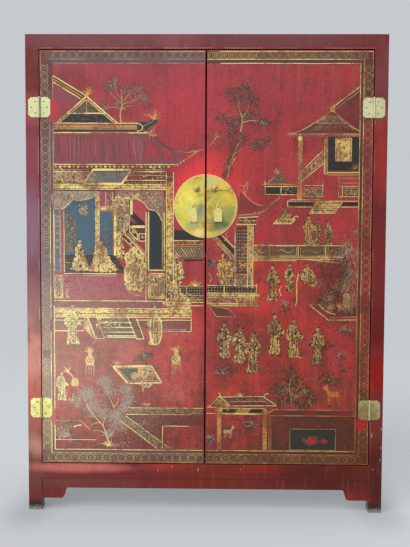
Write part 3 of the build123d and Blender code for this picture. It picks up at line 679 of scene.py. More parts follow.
def stroke(pigment, points, width, taper=0.0, wobble=0.25, body=None):
    # a brush line along points: its width and path waver a little
    verts, faces, top = sheetFor(pigment, points[0][0], body)
    first, n = len(verts), len(points)
    for i, (x, z) in enumerate(points):
        ax, az = points[max(i - 1, 0)]
        bx, bz = points[min(i + 1, n - 1)]
        length = math.hypot(bx - ax, bz - az) or 1.0
        nx, nz = -(bz - az) / length, (bx - ax) / length
        half = width / 2 * (1 - taper * i / (n - 1)) * rng.uniform(0.86, 1.14)
        x += rng.uniform(-wobble, wobble)
        z += rng.uniform(-wobble, wobble)
        for y in (top, frontY - lie["back"] * mm):
            verts.append(((x + nx * half) * mm, y, (z + nz * half) * mm))
            verts.append(((x - nx * half) * mm, y, (z - nz * half) * mm))
    for i in range(n - 1):
        a = first + 4 * i  # left and right in front, left and right behind
        b = a + 4
        faces += [[a + 1, b + 1, b, a], [a + 2, b + 2, b + 3, a + 3], [a + 1, a + 3, b + 3, b + 1],
                  [b, b + 2, a + 2, a]]
    last = first + 4 * (n - 1)
    faces += [[first, first + 2, first + 3, first + 1], [last + 1, last + 3, last + 2, last]]


def dab(pigment, x, z, angle, length, width, base=lie["back"]):
    # one touch of a small brush, thick in the middle; its edge lies at the height base
    verts, faces, top = sheetFor(pigment, x)
    first = len(verts)
    c, s = math.cos(angle), math.sin(angle)
    for u, v in ((-length, 0), (0, -width), (length, 0), (0, width)):
        verts.append(((x + u * c - v * s) * mm, frontY - base * mm, (z + u * s + v * c) * mm))
    verts.append((x * mm, top - lie["dabPeak"] * mm, z * mm))
    faces += [[first + i, first + (i + 1) % 4, first + 4] for i in range(4)]
    faces.append([first + 3, first + 2, first + 1, first])


def smooth(points, steps=4, closed=False):
    # a soft curve through the points
    n = len(points)
    out = []
    for i in range(n if closed else n - 1):
        if closed:
            p = [points[(i + k) % n] for k in (-1, 0, 1, 2)]
        else:
            p = [points[max(i - 1, 0)], points[i], points[i + 1], points[min(i + 2, n - 1)]]
        for k in range(steps):
            t = k / steps
            out.append(tuple(
                0.5 * (2 * b + (c - a) * t + (2 * a - 5 * b + 4 * c - d) * t * t
                       + (3 * b - a - 3 * c + d) * t ** 3)
                for a, b, c, d in zip(*p)))
    return out if closed else out + [points[-1]]


def line(pigment, a, b, width=3.0, lost=0.0, body=None):
    # a ruled line, drawn in stretches so that the hand shows; a share of them is worn away; bright gold is
    # laid over a darker line that shows along its edges
    count = max(1, int(math.hypot(b[0] - a[0], b[1] - a[1]) / 40))
    points = [(a[0] + (b[0] - a[0]) * i / count, a[1] + (b[1] - a[1]) * i / count) for i in range(count + 1)]
    runs = [[points[0]]]
    for p in points[1:]:
        if lost and rng.random() < lost:
            runs.append([p])
        else:
            runs[-1].append(p)
    for run in runs:
        if len(run) > 1:
            if pigment == "giltLine" and width > 2.5:
                stroke("umberInk", run, width + 2.4, wobble=0.5, body=body)
            stroke(pigment, run, width, wobble=0.35, body=body)


def lines(pigment, width, *ends, lost=0.0):
    for x0, z0, x1, z1 in ends:
        line(pigment, (x0, z0), (x1, z1), width, lost)


def path(pigment, width, *points, steps=4, taper=0.0):
    stroke(pigment, smooth(list(points), steps), width, taper)


def disc(pigment, x, z, rx, rz=None, sides=10):
    turn = [2 * math.pi * i / sides for i in range(sides)]
    sheet(pigment, [(x + rx * math.cos(a), z + (rz or rx) * math.sin(a)) for a in turn])


def hoop(pigment, x, z, radius, width, sides=12):
    turn = [2 * math.pi * i / sides for i in range(sides + 1)]
    stroke(pigment, [(x + radius * math.cos(a), z + radius * math.sin(a)) for a in turn], width, wobble=0.1)


def edging(pigment, corners, width):
    for a, b in zip(corners, corners[1:] + corners[:1]):
        line(pigment, a, b, width)


def rect(x0, z0, x1, z1):
    return [(x0, z0), (x1, z0), (x1, z1), (x0, z1)]


def slab(fill, edge, width, *corners):
    film(fill, list(corners))
    edging(edge, list(corners), width)


def board(x0, z0, x1, z1, fill=None, edge="giltLine", width=3.0, inner=0.0):
    # an upright panel in a frame line, with a finer line this far inside it
    if fill:
        film(fill, rect(x0, z0, x1, z1))
    edging(edge, rect(x0, z0, x1, z1), width)
    if inner:
        edging(edge, rect(x0 + inner, z0 + inner, x1 - inner, z1 - inner), width * 0.6)


def inside(outline, x, z):
    hit = False
    for (ax, az), (bx, bz) in zip(outline, outline[1:] + outline[:1]):
        if (az > z) != (bz > z) and x < (bx - ax) * (z - az) / (bz - az) + ax:
            hit = not hit
    return hit


def speckle(pigment, outline, count, size, base=lie["fleck"]):
    # small brush dabs scattered inside an outline
    xs, zs = [p[0] for p in outline], [p[1] for p in outline]
    placed = tried = 0
    while placed < count and tried < count * 8:
        tried += 1
        x, z = rng.uniform(min(xs), max(xs)), rng.uniform(min(zs), max(zs))
        if inside(outline, x, z):
            placed += 1
            length = size * rng.uniform(0.6, 1.4)
            dab(pigment, x, z, rng.uniform(0, math.pi), length, length * 0.45, base)


def dusted(area, *coats):
    # several colours of dabs over the same area, one after the other
    for pigment, *touch in coats:
        speckle(pigment, area, *touch)


def foliage(pigment, x, z, rx, rz, count, size=4.5):
    # a soft clump of leaves, thick in the middle
    for _ in range(count):
        a, r = rng.uniform(0, 2 * math.pi), min(1.5, abs(rng.gauss(0, 0.55)))
        length = size * rng.uniform(0.6, 1.3)
        dab(pigment, x + rx * r * math.cos(a), z + rz * r * math.sin(a), rng.uniform(0, math.pi), length,
            length * 0.55)


def tuft(pigment, x, z, rx, rz, count, length=10.0, width=1.4):
    # fine hairs of the brush, spreading from the middle of a clump
    for _ in range(count):
        a, r = rng.uniform(0, 2 * math.pi), min(1.2, abs(rng.gauss(0, 0.5)))
        px, pz = x + rx * r * math.cos(a), z + rz * r * math.sin(a)
        b, reach = a + rng.uniform(-0.7, 0.7), length * rng.uniform(0.5, 1.3)
        stroke(pigment, [(px, pz), (px + reach * math.cos(b), pz + reach * math.sin(b))], width, 0.5, 0)


def sprig(pigment, x, z, size, count=7, width=1.6, lean=90):
    # a few short curled leaves from one point
    for i in range(count):
        a = math.radians(lean + (i - (count - 1) / 2) * 150 / count + rng.uniform(-8, 8))
        r = size * rng.uniform(0.7, 1.1)
        path(pigment, width, (x, z), (x + 0.5 * r * math.cos(a), z + 0.55 * r * math.sin(a)),
             (x + r * math.cos(a + 0.25), z + r * math.sin(a + 0.25)), steps=2, taper=0.6)


def branches(pigment, *limbs, share=1.0):
    # each limb: its points from the fork outwards, its width there
    for points, width in limbs:
        path(pigment, width * share, *points, taper=0.5)


def between(a, b, share):
    return a[0] + (b[0] - a[0]) * share, a[1] + (b[1] - a[1]) * share


def tileRows(pigment, upper, lower, count, width, lost=0.3):
    # rows of roof tiles from the ridge to the eave, with stretches rubbed away
    for i in range(count + 1):
        t = (i + rng.uniform(-0.2, 0.2)) / count
        a, b = between(*upper, t), between(*lower, t)
        if rng.random() > lost:
            start, stop = rng.uniform(0, 0.3), rng.uniform(0.6, 1.0)
            stroke(pigment, [between(a, b, k) for k in (start, (start + stop) / 2, stop)], width)


def fret(pigment, x0, z0, x1, z1, cell, width):
    # an open lattice of short bars
    cols, rows = max(1, round((x1 - x0) / cell)), max(1, round((z1 - z0) / cell))
    w, h = (x1 - x0) / cols, (z1 - z0) / rows
    for i in range(cols):
        for j in range(rows):
            x, z = x0 + i * w, z0 + j * h
            if (i + j) % 2:
                line(pigment, (x + 0.1 * w, z + h / 2), (x + 0.9 * w, z + h / 2), width)
            else:
                line(pigment, (x + w / 2, z + 0.1 * h), (x + w / 2, z + 0.9 * h), width)


def gown(outline, x, z, tall, cover, robe):
    # a dark shape, then touches of gold along the folds that leave some of the dark between them
    sheet("umberShade", outline, lie["gown"])
    xs, zs = [p[0] for p in outline], [p[1] for p in outline]
    size = 2.8 + tall * 0.010
    placed = tried = 0
    touches = int(cover * abs(turning(outline)) / 2 / (0.95 * size * size))
    while placed < touches and tried < touches * 8:
        tried += 1
        px, pz = rng.uniform(min(xs), max(xs)), rng.uniform(min(zs), max(zs))
        if inside(outline, px, pz):
            placed += 1
            lean = (px - x) / tall * 1.8 * (1.1 - (pz - z) / tall)
            length = size * rng.uniform(0.7, 1.35)
            gold = robe
            if rng.random() >= 0.66:
                gold = rng.choice(("giltLine", "giltOrange", "giltDull", "giltFill"))
            dab(gold, px, pz, math.pi / 2 - lean + rng.uniform(-0.8, 0.8), length,
                length * rng.uniform(0.35, 0.6), lie["gownTouch"])


def figure(x, z, tall, turn=1, robe="giltFill", cover=1.2, seated=False, wide=1.0):
    # a robed figure: a long gown with wide sleeves, a small plain head, dark hair; shares of its height
    if seated:
        shape = [(-0.06, 0.76), (0.06, 0.77), (0.15, 0.68), (0.20, 0.48), (0.30, 0.28), (0.40, 0.10),
                 (0.38, 0.0), (-0.30, 0.0), (-0.30, 0.14), (-0.20, 0.38), (-0.17, 0.62)]
    else:
        shape = [(-0.05, 0.83), (0.05, 0.84), (0.12, 0.77), (0.17, 0.62), (0.24, 0.52), (0.19, 0.45),
                 (0.12, 0.48), (0.12, 0.32), (0.15, 0.14), (0.18, 0.0), (0.06, -0.02), (-0.13, 0.01),
                 (-0.12, 0.2), (-0.12, 0.42), (-0.19, 0.50), (-0.17, 0.66), (-0.11, 0.77)]
    shape = [(px + rng.uniform(-0.018, 0.018), pz + rng.uniform(-0.018, 0.018)) for px, pz in shape]
    outline = smooth([(x + turn * tall * wide * px, z + tall * pz) for px, pz in shape], 3, True)
    gown(outline, x, z, tall, cover, robe)
    for offset in (-0.05, 0.05):
        path("umberInk", tall * 0.020, (x + turn * tall * offset * 0.7, z + tall * 0.72),
             (x + turn * tall * (offset + 0.03), z + tall * 0.42),
             (x + turn * tall * offset * 1.4, z + tall * 0.04))
    path("umberInk", tall * 0.016, (x - turn * tall * 0.14, z + tall * 0.56), (x, z + tall * 0.5),
         (x + turn * tall * 0.18, z + tall * 0.55), steps=3)
    stroke("umberInk", outline + outline[:1], max(1.3, tall * 0.012))
    neck = z + tall * (0.80 if seated else 0.86)
    foliage("umberLeaf", x, neck + tall * 0.05, tall * 0.08, tall * 0.08, 10, 3.4)
    disc("giltFaded", x + turn * tall * 0.01, neck + tall * 0.045, tall * 0.046, tall * 0.058)
    foliage("blackInk", x - turn * tall * 0.012, neck + tall * 0.105, tall * 0.042, tall * 0.026, 13, 3.0)
    foliage("umberInk", x - turn * tall * 0.02, neck + tall * 0.14, tall * 0.02, tall * 0.03, 4, 2.8)


# The border band: its edges from the middle and the floor in mm, and how it has aged on each door.
band = {
    "gap": 4.0,  # beside the joint of the doors
    "out": 541.0, "in": 511.0, "field": 500.0,
    "top": 1520.5, "topIn": 1494.0, "topField": 1481.0,
    "foot": 164.0, "footIn": 195.0, "footField": 207.0,
    "half": 1010.0,  # below it the left door's gold has kept bright
    "pitch": 26.0, "coin": 11.0,
    "topCoins": 20, "topStart": 17.0,
    "sideCoins": 49, "sideStart": 215.0,
}
bandLeft = {
    "wash": "bandWash", "strong": "giltDull", "quiet": "bandDull", "top": "bandDull", "lost": 0.1,
    "patch": ("umberWash", band["out"], 1395.0, band["field"], band["top"]),
    "inTo": 1330.0, "fieldTo": 1440.0, "inLow": "giltLemon", "fieldLow": "giltLine", "fieldWidth": 3.6,
    "ringsFrom": 330.0,  # dark rings round the coins from here up to half
}
bandRight = {
    "wash": "brownWash", "strong": "giltLine", "quiet": "giltDull", "top": "giltLine", "lost": 0.02,
    "patch": ("bandRed", band["in"], 420.0, band["out"], 1290.0),
    "inTo": band["topIn"], "fieldTo": band["topField"], "inLow": "giltFill", "fieldLow": "giltDull",
    "fieldWidth": 2.6,
    "boldBelow": 560.0, "boldAbove": 1400.0,  # between them the coins have worn to short curls
}


def border(s, look):
    # coins in a brown band along a door's top, outer side and foot; s is -1 on the left door
    gap, out, inn, field = band["gap"], band["out"], band["in"], band["field"]
    top, topIn, topField = band["top"], band["topIn"], band["topField"]
    foot, footIn, footField = band["foot"], band["footIn"], band["footField"]
    half, pitch, coin = band["half"], band["pitch"], band["coin"]
    for x0, z0, x1, z1 in ((gap, topField, out, top), (gap, foot, out, footField),
                           (field, footField, out, topField)):
        film(look["wash"], rect(s * x0, z0, s * x1, z1))
    patch, x0, z0, x1, z1 = look["patch"]
    film(patch, rect(s * x0, z0, s * x1, z1))
    quiet = look["quiet"]
    for x0, z0, x1, z1, pigment, width in (
        (gap, top - 1, out, top - 1, look["strong"], 2.2),
        (gap, topIn, inn, topIn, look["top"], 2.2),
        (gap, topField, field, topField, look["top"], 2.6),
        (out - 1, foot, out - 1, top, quiet, 2.0),
        (inn, half, inn, look["inTo"], look["strong"], 2.4),
        (inn, footIn, inn, half, look["inLow"], 2.8),
        (field, half, field, look["fieldTo"], look["strong"], 2.6),
        (field, footField, field, half, look["fieldLow"], look["fieldWidth"]),
        (gap, footField, field, footField, "giltLine", 2.6),
        (gap, footIn, inn, footIn, "giltDull", 2.4),
        (gap, foot + 1, out, foot + 1, "giltDull", 1.6),
    ):
        line(pigment, (s * x0, z0), (s * x1, z1), width, 0.03 if pigment == "giltLine" else look["lost"])
    middle = s * (out + inn) / 2
    for i in range(band["topCoins"]):
        x = s * (band["topStart"] + pitch * i)
        for z, pigment, r in (((top + topIn) / 2, quiet, coin), ((foot + footIn) / 2, "giltDull", coin + 1)):
            disc("umberShade", x, z, r * 0.75, sides=8)
            hoop(pigment, x, z, r, 1.9, 10)
            hoop(pigment, x, z, r * 0.42, 1.6, 7)
            for k in (-1, 1):
                disc(pigment, x + s * pitch / 2, z + k * r * 0.85, 1.6, sides=5)
    for i in range(band["sideCoins"]):
        z = band["sideStart"] + pitch * i
        if s < 0 and rng.random() > 0.05:
            pigment = "giltFaded" if z < half else "bandDull"
            disc("umberShade", middle, z, coin * 0.8, sides=8)
            hoop(pigment, middle, z, coin, 2.6, 10)
            hoop(pigment, middle, z, 4.4, 1.8, 7)
            for k in (-9, 9):
                disc(pigment, middle + k, z + pitch / 2, 2.0, sides=5)
            if look["ringsFrom"] < z < half:
                hoop("umberInk", middle, z, coin + 2.4, 2.2, 10)
                disc("umberInk", middle, z, 3.4, sides=6)
        if s > 0 and (z > look["boldAbove"] or z < look["boldBelow"]):
            w, h = coin + 1, pitch / 2
            hoop("giltDull", middle, z, coin * 0.5, 1.6, 8)
            stroke("giltDull", [
                (middle - w, z - 6), (middle, z - h), (middle + w, z - 6), (middle + w, z + 6),
                (middle, z + h), (middle - w, z + 6), (middle - w, z - 6)], 2.0)
        elif s > 0:
            for k in (-1, 1):
                path("bandDull", 1.8, (middle + k * 3, z - 13), (middle + k * 11, z),
                     (middle + k * 3, z + 13), steps=3)
            hoop("bandDull", middle, z + 13, 4.0, 1.4, 6)


border(-1, bandLeft)
border(1, bandRight)

# left door, top: the hall's gable, ridge and roof
film("mauveWash", [(-498, 1255), (-180, 1255), (-140, 1224), (-100, 1202), (-58, 1194), (-100, 1152),
                   (-498, 1152)])
film("mauveWash", [(-498, 1420), (-410, 1366), (-486, 1294), (-498, 1290)])
film("umberWash", [(-498, 1440), (-398, 1380), (-408, 1366), (-498, 1422)])
lines("giltLine", 3.4, (-499, 1441, -398, 1381), (-499, 1421, -409, 1367))
lines("giltOrange", 2.2, (-499, 1431, -404, 1374))
film("oliveFill", [(-390, 1362), (-346, 1324), (-434, 1324)])
speckle("charcoal", [(-390, 1358), (-350, 1326), (-430, 1326)], 26, 3.2)
film("charcoal", [(-452, 1318), (-328, 1318), (-304, 1290), (-476, 1290)])
speckle("oliveFill", [(-446, 1316), (-334, 1316), (-318, 1293), (-462, 1293)], 40, 3.0)
lines("giltLine", 4.4, (-488, 1289, -391, 1374), (-389, 1374, -290, 1289))
lines("giltLine", 2.2, (-476, 1292, -391, 1364), (-389, 1364, -304, 1292))
lines("giltLine", 4.0, (-452, 1320, -328, 1320))
lines("giltDull", 3.0, (-390, 1322, -390, 1362))
disc("giltOrange", -390, 1378, 8, 6)
sprig("giltOrange", -386, 1380, 26, 7, 2.4, 75)
sprig("giltDull", -384, 1392, 18, 5, 1.8, 60)
blocks("tanFill", (-498, 1268, -226, 1283))
speckle("umberInk", rect(-495, 1270, -230, 1281), 44, 2.6)
lines("giltLine", 3.4, (-499, 1288, -222, 1288), (-499, 1257, -188, 1257))
lines("giltOrange", 2.4, (-499, 1277, -232, 1277))
lines("charcoal", 4.2, (-499, 1264, -216, 1264))
soft("darkGreen", (-222, 1287), (-206, 1294), (-190, 1290), (-178, 1300), (-160, 1302), (-162, 1288),
     (-180, 1278), (-200, 1262), (-222, 1261))
path("giltLine", 2.6, (-226, 1288), (-210, 1282), (-208, 1268), (-226, 1262))
path("greenGrey", 3.4, (-212, 1266), (-202, 1280), (-188, 1286), (-170, 1296))
sprig("giltOrange", -172, 1300, 32, 9, 2.4, 80)
sprig("giltDull", -182, 1262, 26, 6, 2.0, -30)
path("giltOrange", 2.6, (-204, 1262), (-186, 1256), (-176, 1248), (-160, 1252))
path("umberInk", 2.4, (-176, 1250), (-150, 1226), (-112, 1204), (-100, 1200), steps=5)
path("giltDull", 2.2, (-100, 1200), (-70, 1194), (-40, 1196), (-8, 1204), steps=5)
path("giltDull", 1.8, (-58, 1192), (-40, 1200), (-20, 1196))
path("giltDull", 2.6, (-100, 1152), (-66, 1172), (-40, 1190), (-26, 1200), steps=5)
for k in range(7):
    disc("giltDull", -92 + 10 * k, 1152 + 6.5 * k, 2.6, sides=6)
tileRows("bandDull", [(-494, 1254), (-182, 1252)], [(-494, 1158), (-176, 1158)], 78, 1.0, 0.72)
tileRows("umberLeaf", [(-491, 1254), (-180, 1252)], [(-491, 1158), (-168, 1158)], 70, 1.5, 0.35)
tileRows("pinkPetal", [(-489, 1250), (-190, 1250)], [(-489, 1158), (-180, 1158)], 60, 2.2, 0.4)
tileRows("umberLeaf", [(-178, 1246), (-112, 1206)], [(-166, 1158), (-96, 1160)], 14, 1.4, 0.3)
tileRows("freshRed", [(-214, 1240), (-116, 1204)], [(-206, 1160), (-92, 1160)], 30, 2.0, 0.4)
# a fine-leaved tree behind the ridge
path("giltDull", 4.6, (-277, 1290), (-280, 1320), (-274, 1350), (-278, 1400), taper=0.6)
for x, z in ((-318, 1396), (-246, 1394), (-212, 1372), (-232, 1344), (-322, 1336), (-300, 1418),
             (-262, 1330)):
    path("giltDull", 1.5, (-277, 1330 + (z - 1330) * 0.4), ((x - 277) / 2, (z + 1345) / 2), (x, z), steps=3)
for x, z, rx, rz, count in (
    (-306, 1412, 26, 18, 70), (-326, 1398, 20, 10, 36), (-262, 1396, 22, 14, 50), (-222, 1398, 26, 9, 46),
    (-206, 1366, 24, 12, 48), (-236, 1378, 20, 10, 30), (-332, 1340, 22, 13, 44), (-288, 1352, 18, 12, 30),
    (-300, 1428, 14, 8, 20), (-198, 1346, 14, 8, 16), (-352, 1326, 10, 8, 12), (-258, 1352, 16, 10, 22),
):
    tuft("umberLeaf", x, z, rx, rz, int(count * 1.6), 8.0, 1.7)
    tuft("bandDull" if rng.random() < 0.8 else "greyLeaf", x, z, rx, rz, int(count * 0.9), 7.0, 1.2)

# eave, fascia and name board, which is left plain
blocks("umberWash", (-498, 1103, -128, 1150))
lines("giltLine", 3.2, (-499, 1154, -100, 1154))
for i in range(26):
    disc("giltLine" if i % 2 else "giltDull", -492 + 14.8 * i, 1147, 4.6, 3.4, 8)
lines("giltDull", 2.4, (-499, 1137, -385, 1137), (-236, 1137, -128, 1137), (-499, 1119, -396, 1119),
      (-256, 1119, -128, 1119))
lines("giltLine", 3.0, (-499, 1131, -384, 1131), (-240, 1131, -128, 1131), (-499, 1103, -400, 1103),
      (-266, 1103, -128, 1103))
speckle("giltDull", rect(-496, 1106, -400, 1149), 60, 4)
speckle("giltDull", rect(-252, 1106, -132, 1149), 60, 4)
blocks("brownWash", (-498, 1086, -128, 1101))
for i in range(30):
    x = -492 + 12.2 * i
    if not -404 < x < -262:
        path("giltDull", 1.6, (x, 1089), (x + 4, 1097), (x + 9, 1091), steps=2)
film("boardGrey", [(-396, 1096), (-366, 1133), (-250, 1133), (-280, 1096)])
speckle("slateBlue", [(-388, 1098), (-362, 1131), (-256, 1131), (-284, 1098)], 50, 3)
speckle("umberInk", [(-380, 1100), (-358, 1129), (-264, 1129), (-288, 1100)], 50, 2.6)
edging("giltLine", [(-402, 1091), (-370, 1137), (-244, 1137), (-276, 1091)], 7.5)
edging("umberInk", [(-393, 1096), (-366, 1131), (-253, 1131), (-281, 1096)], 1.6)
blocks("giltFill", (-498, 1073, -128, 1089))
dusted(rect(-496, 1074, -130, 1088), ("umberInk", 90, 3.0), ("giltLine", 110, 3.4))
speckle("giltLemon", rect(-476, 1074, -400, 1088), 70, 4.0)
lines("giltLine", 3.0, (-499, 1089, -128, 1089), (-499, 1073, -128, 1073))

speckle("giltFaded", rect(-498, 1096, -400, 1130), 90, 4.6)
dusted(rect(-498, 1092, -362, 1130), ("paleTone", 90, 4.2), ("greyLeaf", 60, 3.8))

# the hall's rooms: blue and dark panels, posts and curtains
blocks("slateBlue", (-464, 832, -357, 1050), (-349, 856, -305, 1000), (-496, 808, -479, 1006))
blocks("inkBlue", (-184, 812, -138, 1004))
blocks("umberWash", (-372, 858, -360, 1046))
blocks("tanFill", (-361, 858, -351, 1062))
speckle("giltLine", rect(-361, 860, -351, 1060), 110, 3.8)
blocks("brownWash", (-136, 752, -104, 1100))
film("charcoal", [(-462, 858), (-462, 798), (-268, 798), (-268, 812), (-300, 858)])
blocks("oliveFill", (-416, 985, -388, 1022))
dusted(rect(-415, 986, -389, 1021), ("paleTone", 60, 2.8), ("slateBlue", 30, 3.0))
blocks("oliveFill", (-459, 872, -430, 988))
speckle("paleTone", rect(-458, 873, -431, 987), 60, 2.6)
for i in range(3):
    for j in range(11):
        disc("slateBlue", -453 + 8.6 * i, 878 + 10.4 * j, 2.7, 3.4, 6)
edging("greenGrey", [(-460, 871), (-429, 871), (-429, 989), (-460, 989)], 1.8)
path("greenGrey", 2.0, (-489, 880), (-484, 920), (-492, 950), (-486, 974))
for z in (880, 900, 925, 948, 965, 980):
    sprig("paleTone", -488, z, 12, 4, 1.8, 90)
speckle("greenGrey", rect(-496, 850, -480, 1000), 40, 3.4)
lines("giltDull", 2.6, (-497, 806, -497, 990), (-478, 806, -478, 990), (-497, 806, -478, 806))
blocks("roseWash", (-478, 800, -466, 1008))
lines("giltLine", 2.6, (-479, 800, -479, 1010), (-466, 800, -466, 1010))
lines("giltLine", 2.4, (-362, 858, -362, 1062), (-350, 858, -350, 1062))
lines("giltLine", 5.0, (-350, 1009, -294, 1009))
lines("giltLemon", 7.0, (-298, 856, -298, 1008))
lines("freshRed", 3.0, (-304, 862, -304, 1000))
lines("giltOrange", 2.0, (-350, 1002, -305, 1002))
blocks("umberWash", (-293, 858, -266, 968))
blocks("tanFill", (-292, 934, -268, 984))
lines("giltLine", 2.8, (-292, 934, -292, 984), (-268, 930, -268, 1040), (-292, 984, -268, 984),
      (-292, 934, -268, 934))
fret("umberInk", -292, 936, -268, 984, 12, 4.0)
speckle("giltLemon", rect(-294, 858, -280, 930), 40, 4.4)
speckle("giltLine", rect(-294, 858, -270, 930), 50, 4.2)
speckle("pinkPetal", rect(-286, 862, -268, 925), 30, 4.2)
speckle("paleTone", rect(-290, 942, -270, 980), 30, 3.8)
speckle("umberInk", rect(-292, 862, -268, 930), 40, 3.8)
path("greenGrey", 2.2, (-334, 884), (-322, 900), (-336, 920), (-322, 940), (-332, 962))
path("giltDull", 1.8, (-318, 880), (-330, 905), (-318, 930))
foliage("greenGrey", -328, 920, 10, 26, 30, 3)
blocks("roseWash", (-349, 1012, -330, 1066))
blocks("mauveWash", (-325, 1012, -307, 1066))
lines("giltLine", 2.6, (-328, 1012, -328, 1064), (-305, 1012, -305, 1064))
speckle("greyLeaf", rect(-325, 1014, -308, 1064), 30, 2.8)
film("brownWash", [(-300, 1066), (-200, 1066), (-200, 900), (-300, 935)])
blocks("curtainBrown", (-296, 984, -250, 1062))
speckle("paleTone", rect(-306, 985, -252, 1050), 60, 4.0)
speckle("paleTone", rect(-300, 986, -281, 1036), 30, 4.2)
lines("giltLine", 8.0, (-352, 1010, -294, 1010))
lines("paleTone", 3.0, (-350, 1018, -296, 1018))
speckle("giltLine", rect(-306, 985, -252, 1050), 40, 4.0)
speckle("greyLeaf", rect(-296, 986, -252, 1060), 40, 3.6)
lines("giltDull", 2.6, (-296, 1006, -270, 1006), (-284, 984, -284, 1060))
# the doorway behind the stair: a cream post and sill, a rose panel cut by a dark brace
blocks("pinkPetal", (-240, 958, -199, 1040))
blocks("roseWash", (-226, 1000, -199, 1040))
film("charcoal", [(-239, 1001), (-201, 966), (-201, 956), (-216, 956), (-240, 980)])
film("umberShade", [(-248, 986), (-240, 980), (-222, 962), (-248, 962)])
lines("pinkPetal", 6.0, (-246, 978, -232, 966))
dusted(rect(-268, 950, -249, 990), ("greyLeaf", 40, 4.0), ("paleTone", 24, 4.0))
speckle("paleTone", rect(-262, 906, -226, 946), 30, 3.6)
lines("charcoal", 4.5, (-248, 959, -198, 959))
lines("giltLine", 8.0, (-244, 991, -244, 1040), (-243, 951, -199, 951))
lines("giltLemon", 3.0, (-242, 951, -200, 951))
path("giltLine", 4.0, (-244, 1036), (-238, 1048), (-226, 1058), steps=3)
blocks("umberWash", (-224, 934, -199, 946))
# stair rail: two dark panels in pale frames, and the stringer below it
slab("charcoal", "giltLine", 3.0, (-249, 954), (-224, 927), (-224, 907), (-249, 932))
disc("paleTone", -240, 934, 3.4, 5.0, 8)
board(-219, 904, -198, 928, "charcoal", "giltLine", 2.8)
disc("greenGrey", -208, 917, 6.0, 6.5, 8)
disc("paleTone", -208, 917, 2.6, 3.0, 8)
disc("paleTone", -257, 960, 5.0, 5.5, 8)
disc("greyLeaf", -259, 944, 4.0, 6.0, 8)
lines("charcoal", 4.0, (-262, 918, -199, 850))
lines("giltLine", 4.4, (-264, 926, -199, 857))
lines("giltFaded", 2.8, (-260, 931, -199, 866))
lines("giltLine", 2.6, (-269, 912, -204, 844))
board(-282, 925, -264, 934, "charcoal", "giltLine", 2.2)
board(-276, 938, -262, 944, "charcoal", "giltLine", 2.0)
figure(-284, 848, 70, 1, "giltFill", 1.3)
lines("giltLine", 3.4, (-187, 806, -187, 1000), (-196, 700, -196, 1000), (-136, 806, -136, 1000),
      (-187, 808, -136, 808))
lines("giltDull", 2.4, (-191, 812, -191, 990), (-142, 815, -142, 990))
blocks("giltOrange", (-127, 708, -108, 1098))
speckle("umberInk", rect(-126, 710, -109, 1096), 60, 3.4, 0.3)
speckle("redWash", rect(-126, 720, -109, 1096), 60, 4.6, 0.3)
speckle("giltLine", rect(-126, 710, -109, 1000), 150, 4.6, 0.3)
lines("giltLine", 3.2, (-129, 706, -129, 1128), (-106, 745, -106, 1128))
blocks("umberWash", (-127, 1100, -106, 1128))
lines("giltDull", 2.4, (-129, 1114, -106, 1114))
soft("curtainGrey", (-498, 1068), (-358, 1068), (-358, 1054), (-380, 1044), (-417, 1037), (-437, 1038),
     (-450, 1026), (-464, 1011), (-480, 1009), (-498, 1008))
dusted([(-496, 1064), (-366, 1062), (-382, 1048), (-418, 1041), (-446, 1032), (-466, 1016), (-496, 1012)],
       ("giltFaded", 50, 2.8), ("umberLeaf", 40, 2.8), ("greyLeaf", 60, 2.8), ("paleTone", 50, 2.8),
       ("greenGrey", 40, 2.8))
path("giltLemon", 2.4, (-358, 1053), (-380, 1043), (-417, 1036), (-437, 1038), (-450, 1025), (-465, 1011),
     (-480, 1009), (-498, 1008))
path("giltLemon", 3.4, (-443, 1062), (-438, 1050), (-431, 1041), steps=3)
lines("umberLeaf", 5.0, (-498, 1070, -300, 1070))
soft("curtainBrown", (-296, 1066), (-142, 1066), (-142, 972), (-152, 988), (-164, 1004), (-186, 1010),
     (-200, 1030), (-226, 1044), (-262, 1046))
dusted([(-290, 1064), (-144, 1064), (-144, 984), (-168, 1008), (-204, 1034), (-262, 1048)],
       ("giltDull", 80, 2.8), ("umberLeaf", 60, 2.8), ("greyLeaf", 60, 2.8), ("paleTone", 70, 2.8))
path("giltLine", 2.6, (-290, 1048), (-250, 1042), (-226, 1042), (-202, 1028), (-188, 1010), (-166, 1003),
     (-152, 988), (-143, 970))
path("giltLine", 3.4, (-240, 1056), (-226, 1046), (-222, 1060), steps=3)

# people seated in the hall, its floor and the figure at the stair head
lines("giltLine", 3.4, (-466, 796, -292, 796))
lines("giltDull", 2.6, (-466, 789, -292, 789), (-466, 832, -446, 832))
figure(-416, 806, 112, 1, "giltLine", 1.3, True, 0.7)
foliage("greyLeaf", -436, 812, 16, 8, 40, 3.0)
figure(-344, 804, 112, 1, "giltLine", 1.5, True, 1.1)
speckle("paleTone", rect(-372, 806, -312, 850), 60, 4.0)
path("umberInk", 3.4, (-312, 830), (-296, 838), (-288, 822))
blocks("roseWash", (-470, 708, -200, 787))
speckle("mauveWash", rect(-466, 712, -206, 784), 70, 6, 0.1)
path("giltDull", 1.4, (-424, 786), (-412, 752), (-394, 728))
lines("giltLine", 3.6, (-499, 706, -142, 706))
blocks("mauveWash", (-498, 682, -142, 704))
board(-499, 715, -473, 790, "giltFaded", "giltLine", 3.0, 4)
speckle("umberInk", rect(-494, 720, -478, 786), 50, 3)
board(-188, 716, -136, 797, "giltFaded", "giltLine", 3.2, 5)
dusted(rect(-180, 722, -144, 790), ("umberInk", 90, 3), ("giltLine", 70, 3.4, 0.3))
lines("giltDull", 2.6, (-470, 706, -470, 800), (-477, 706, -477, 800))
path("giltFaded", 6.0, (-462, 758), (-452, 744), (-460, 730), (-450, 716), steps=3)
foliage("giltLemon", -456, 742, 8, 20, 30, 3.4)
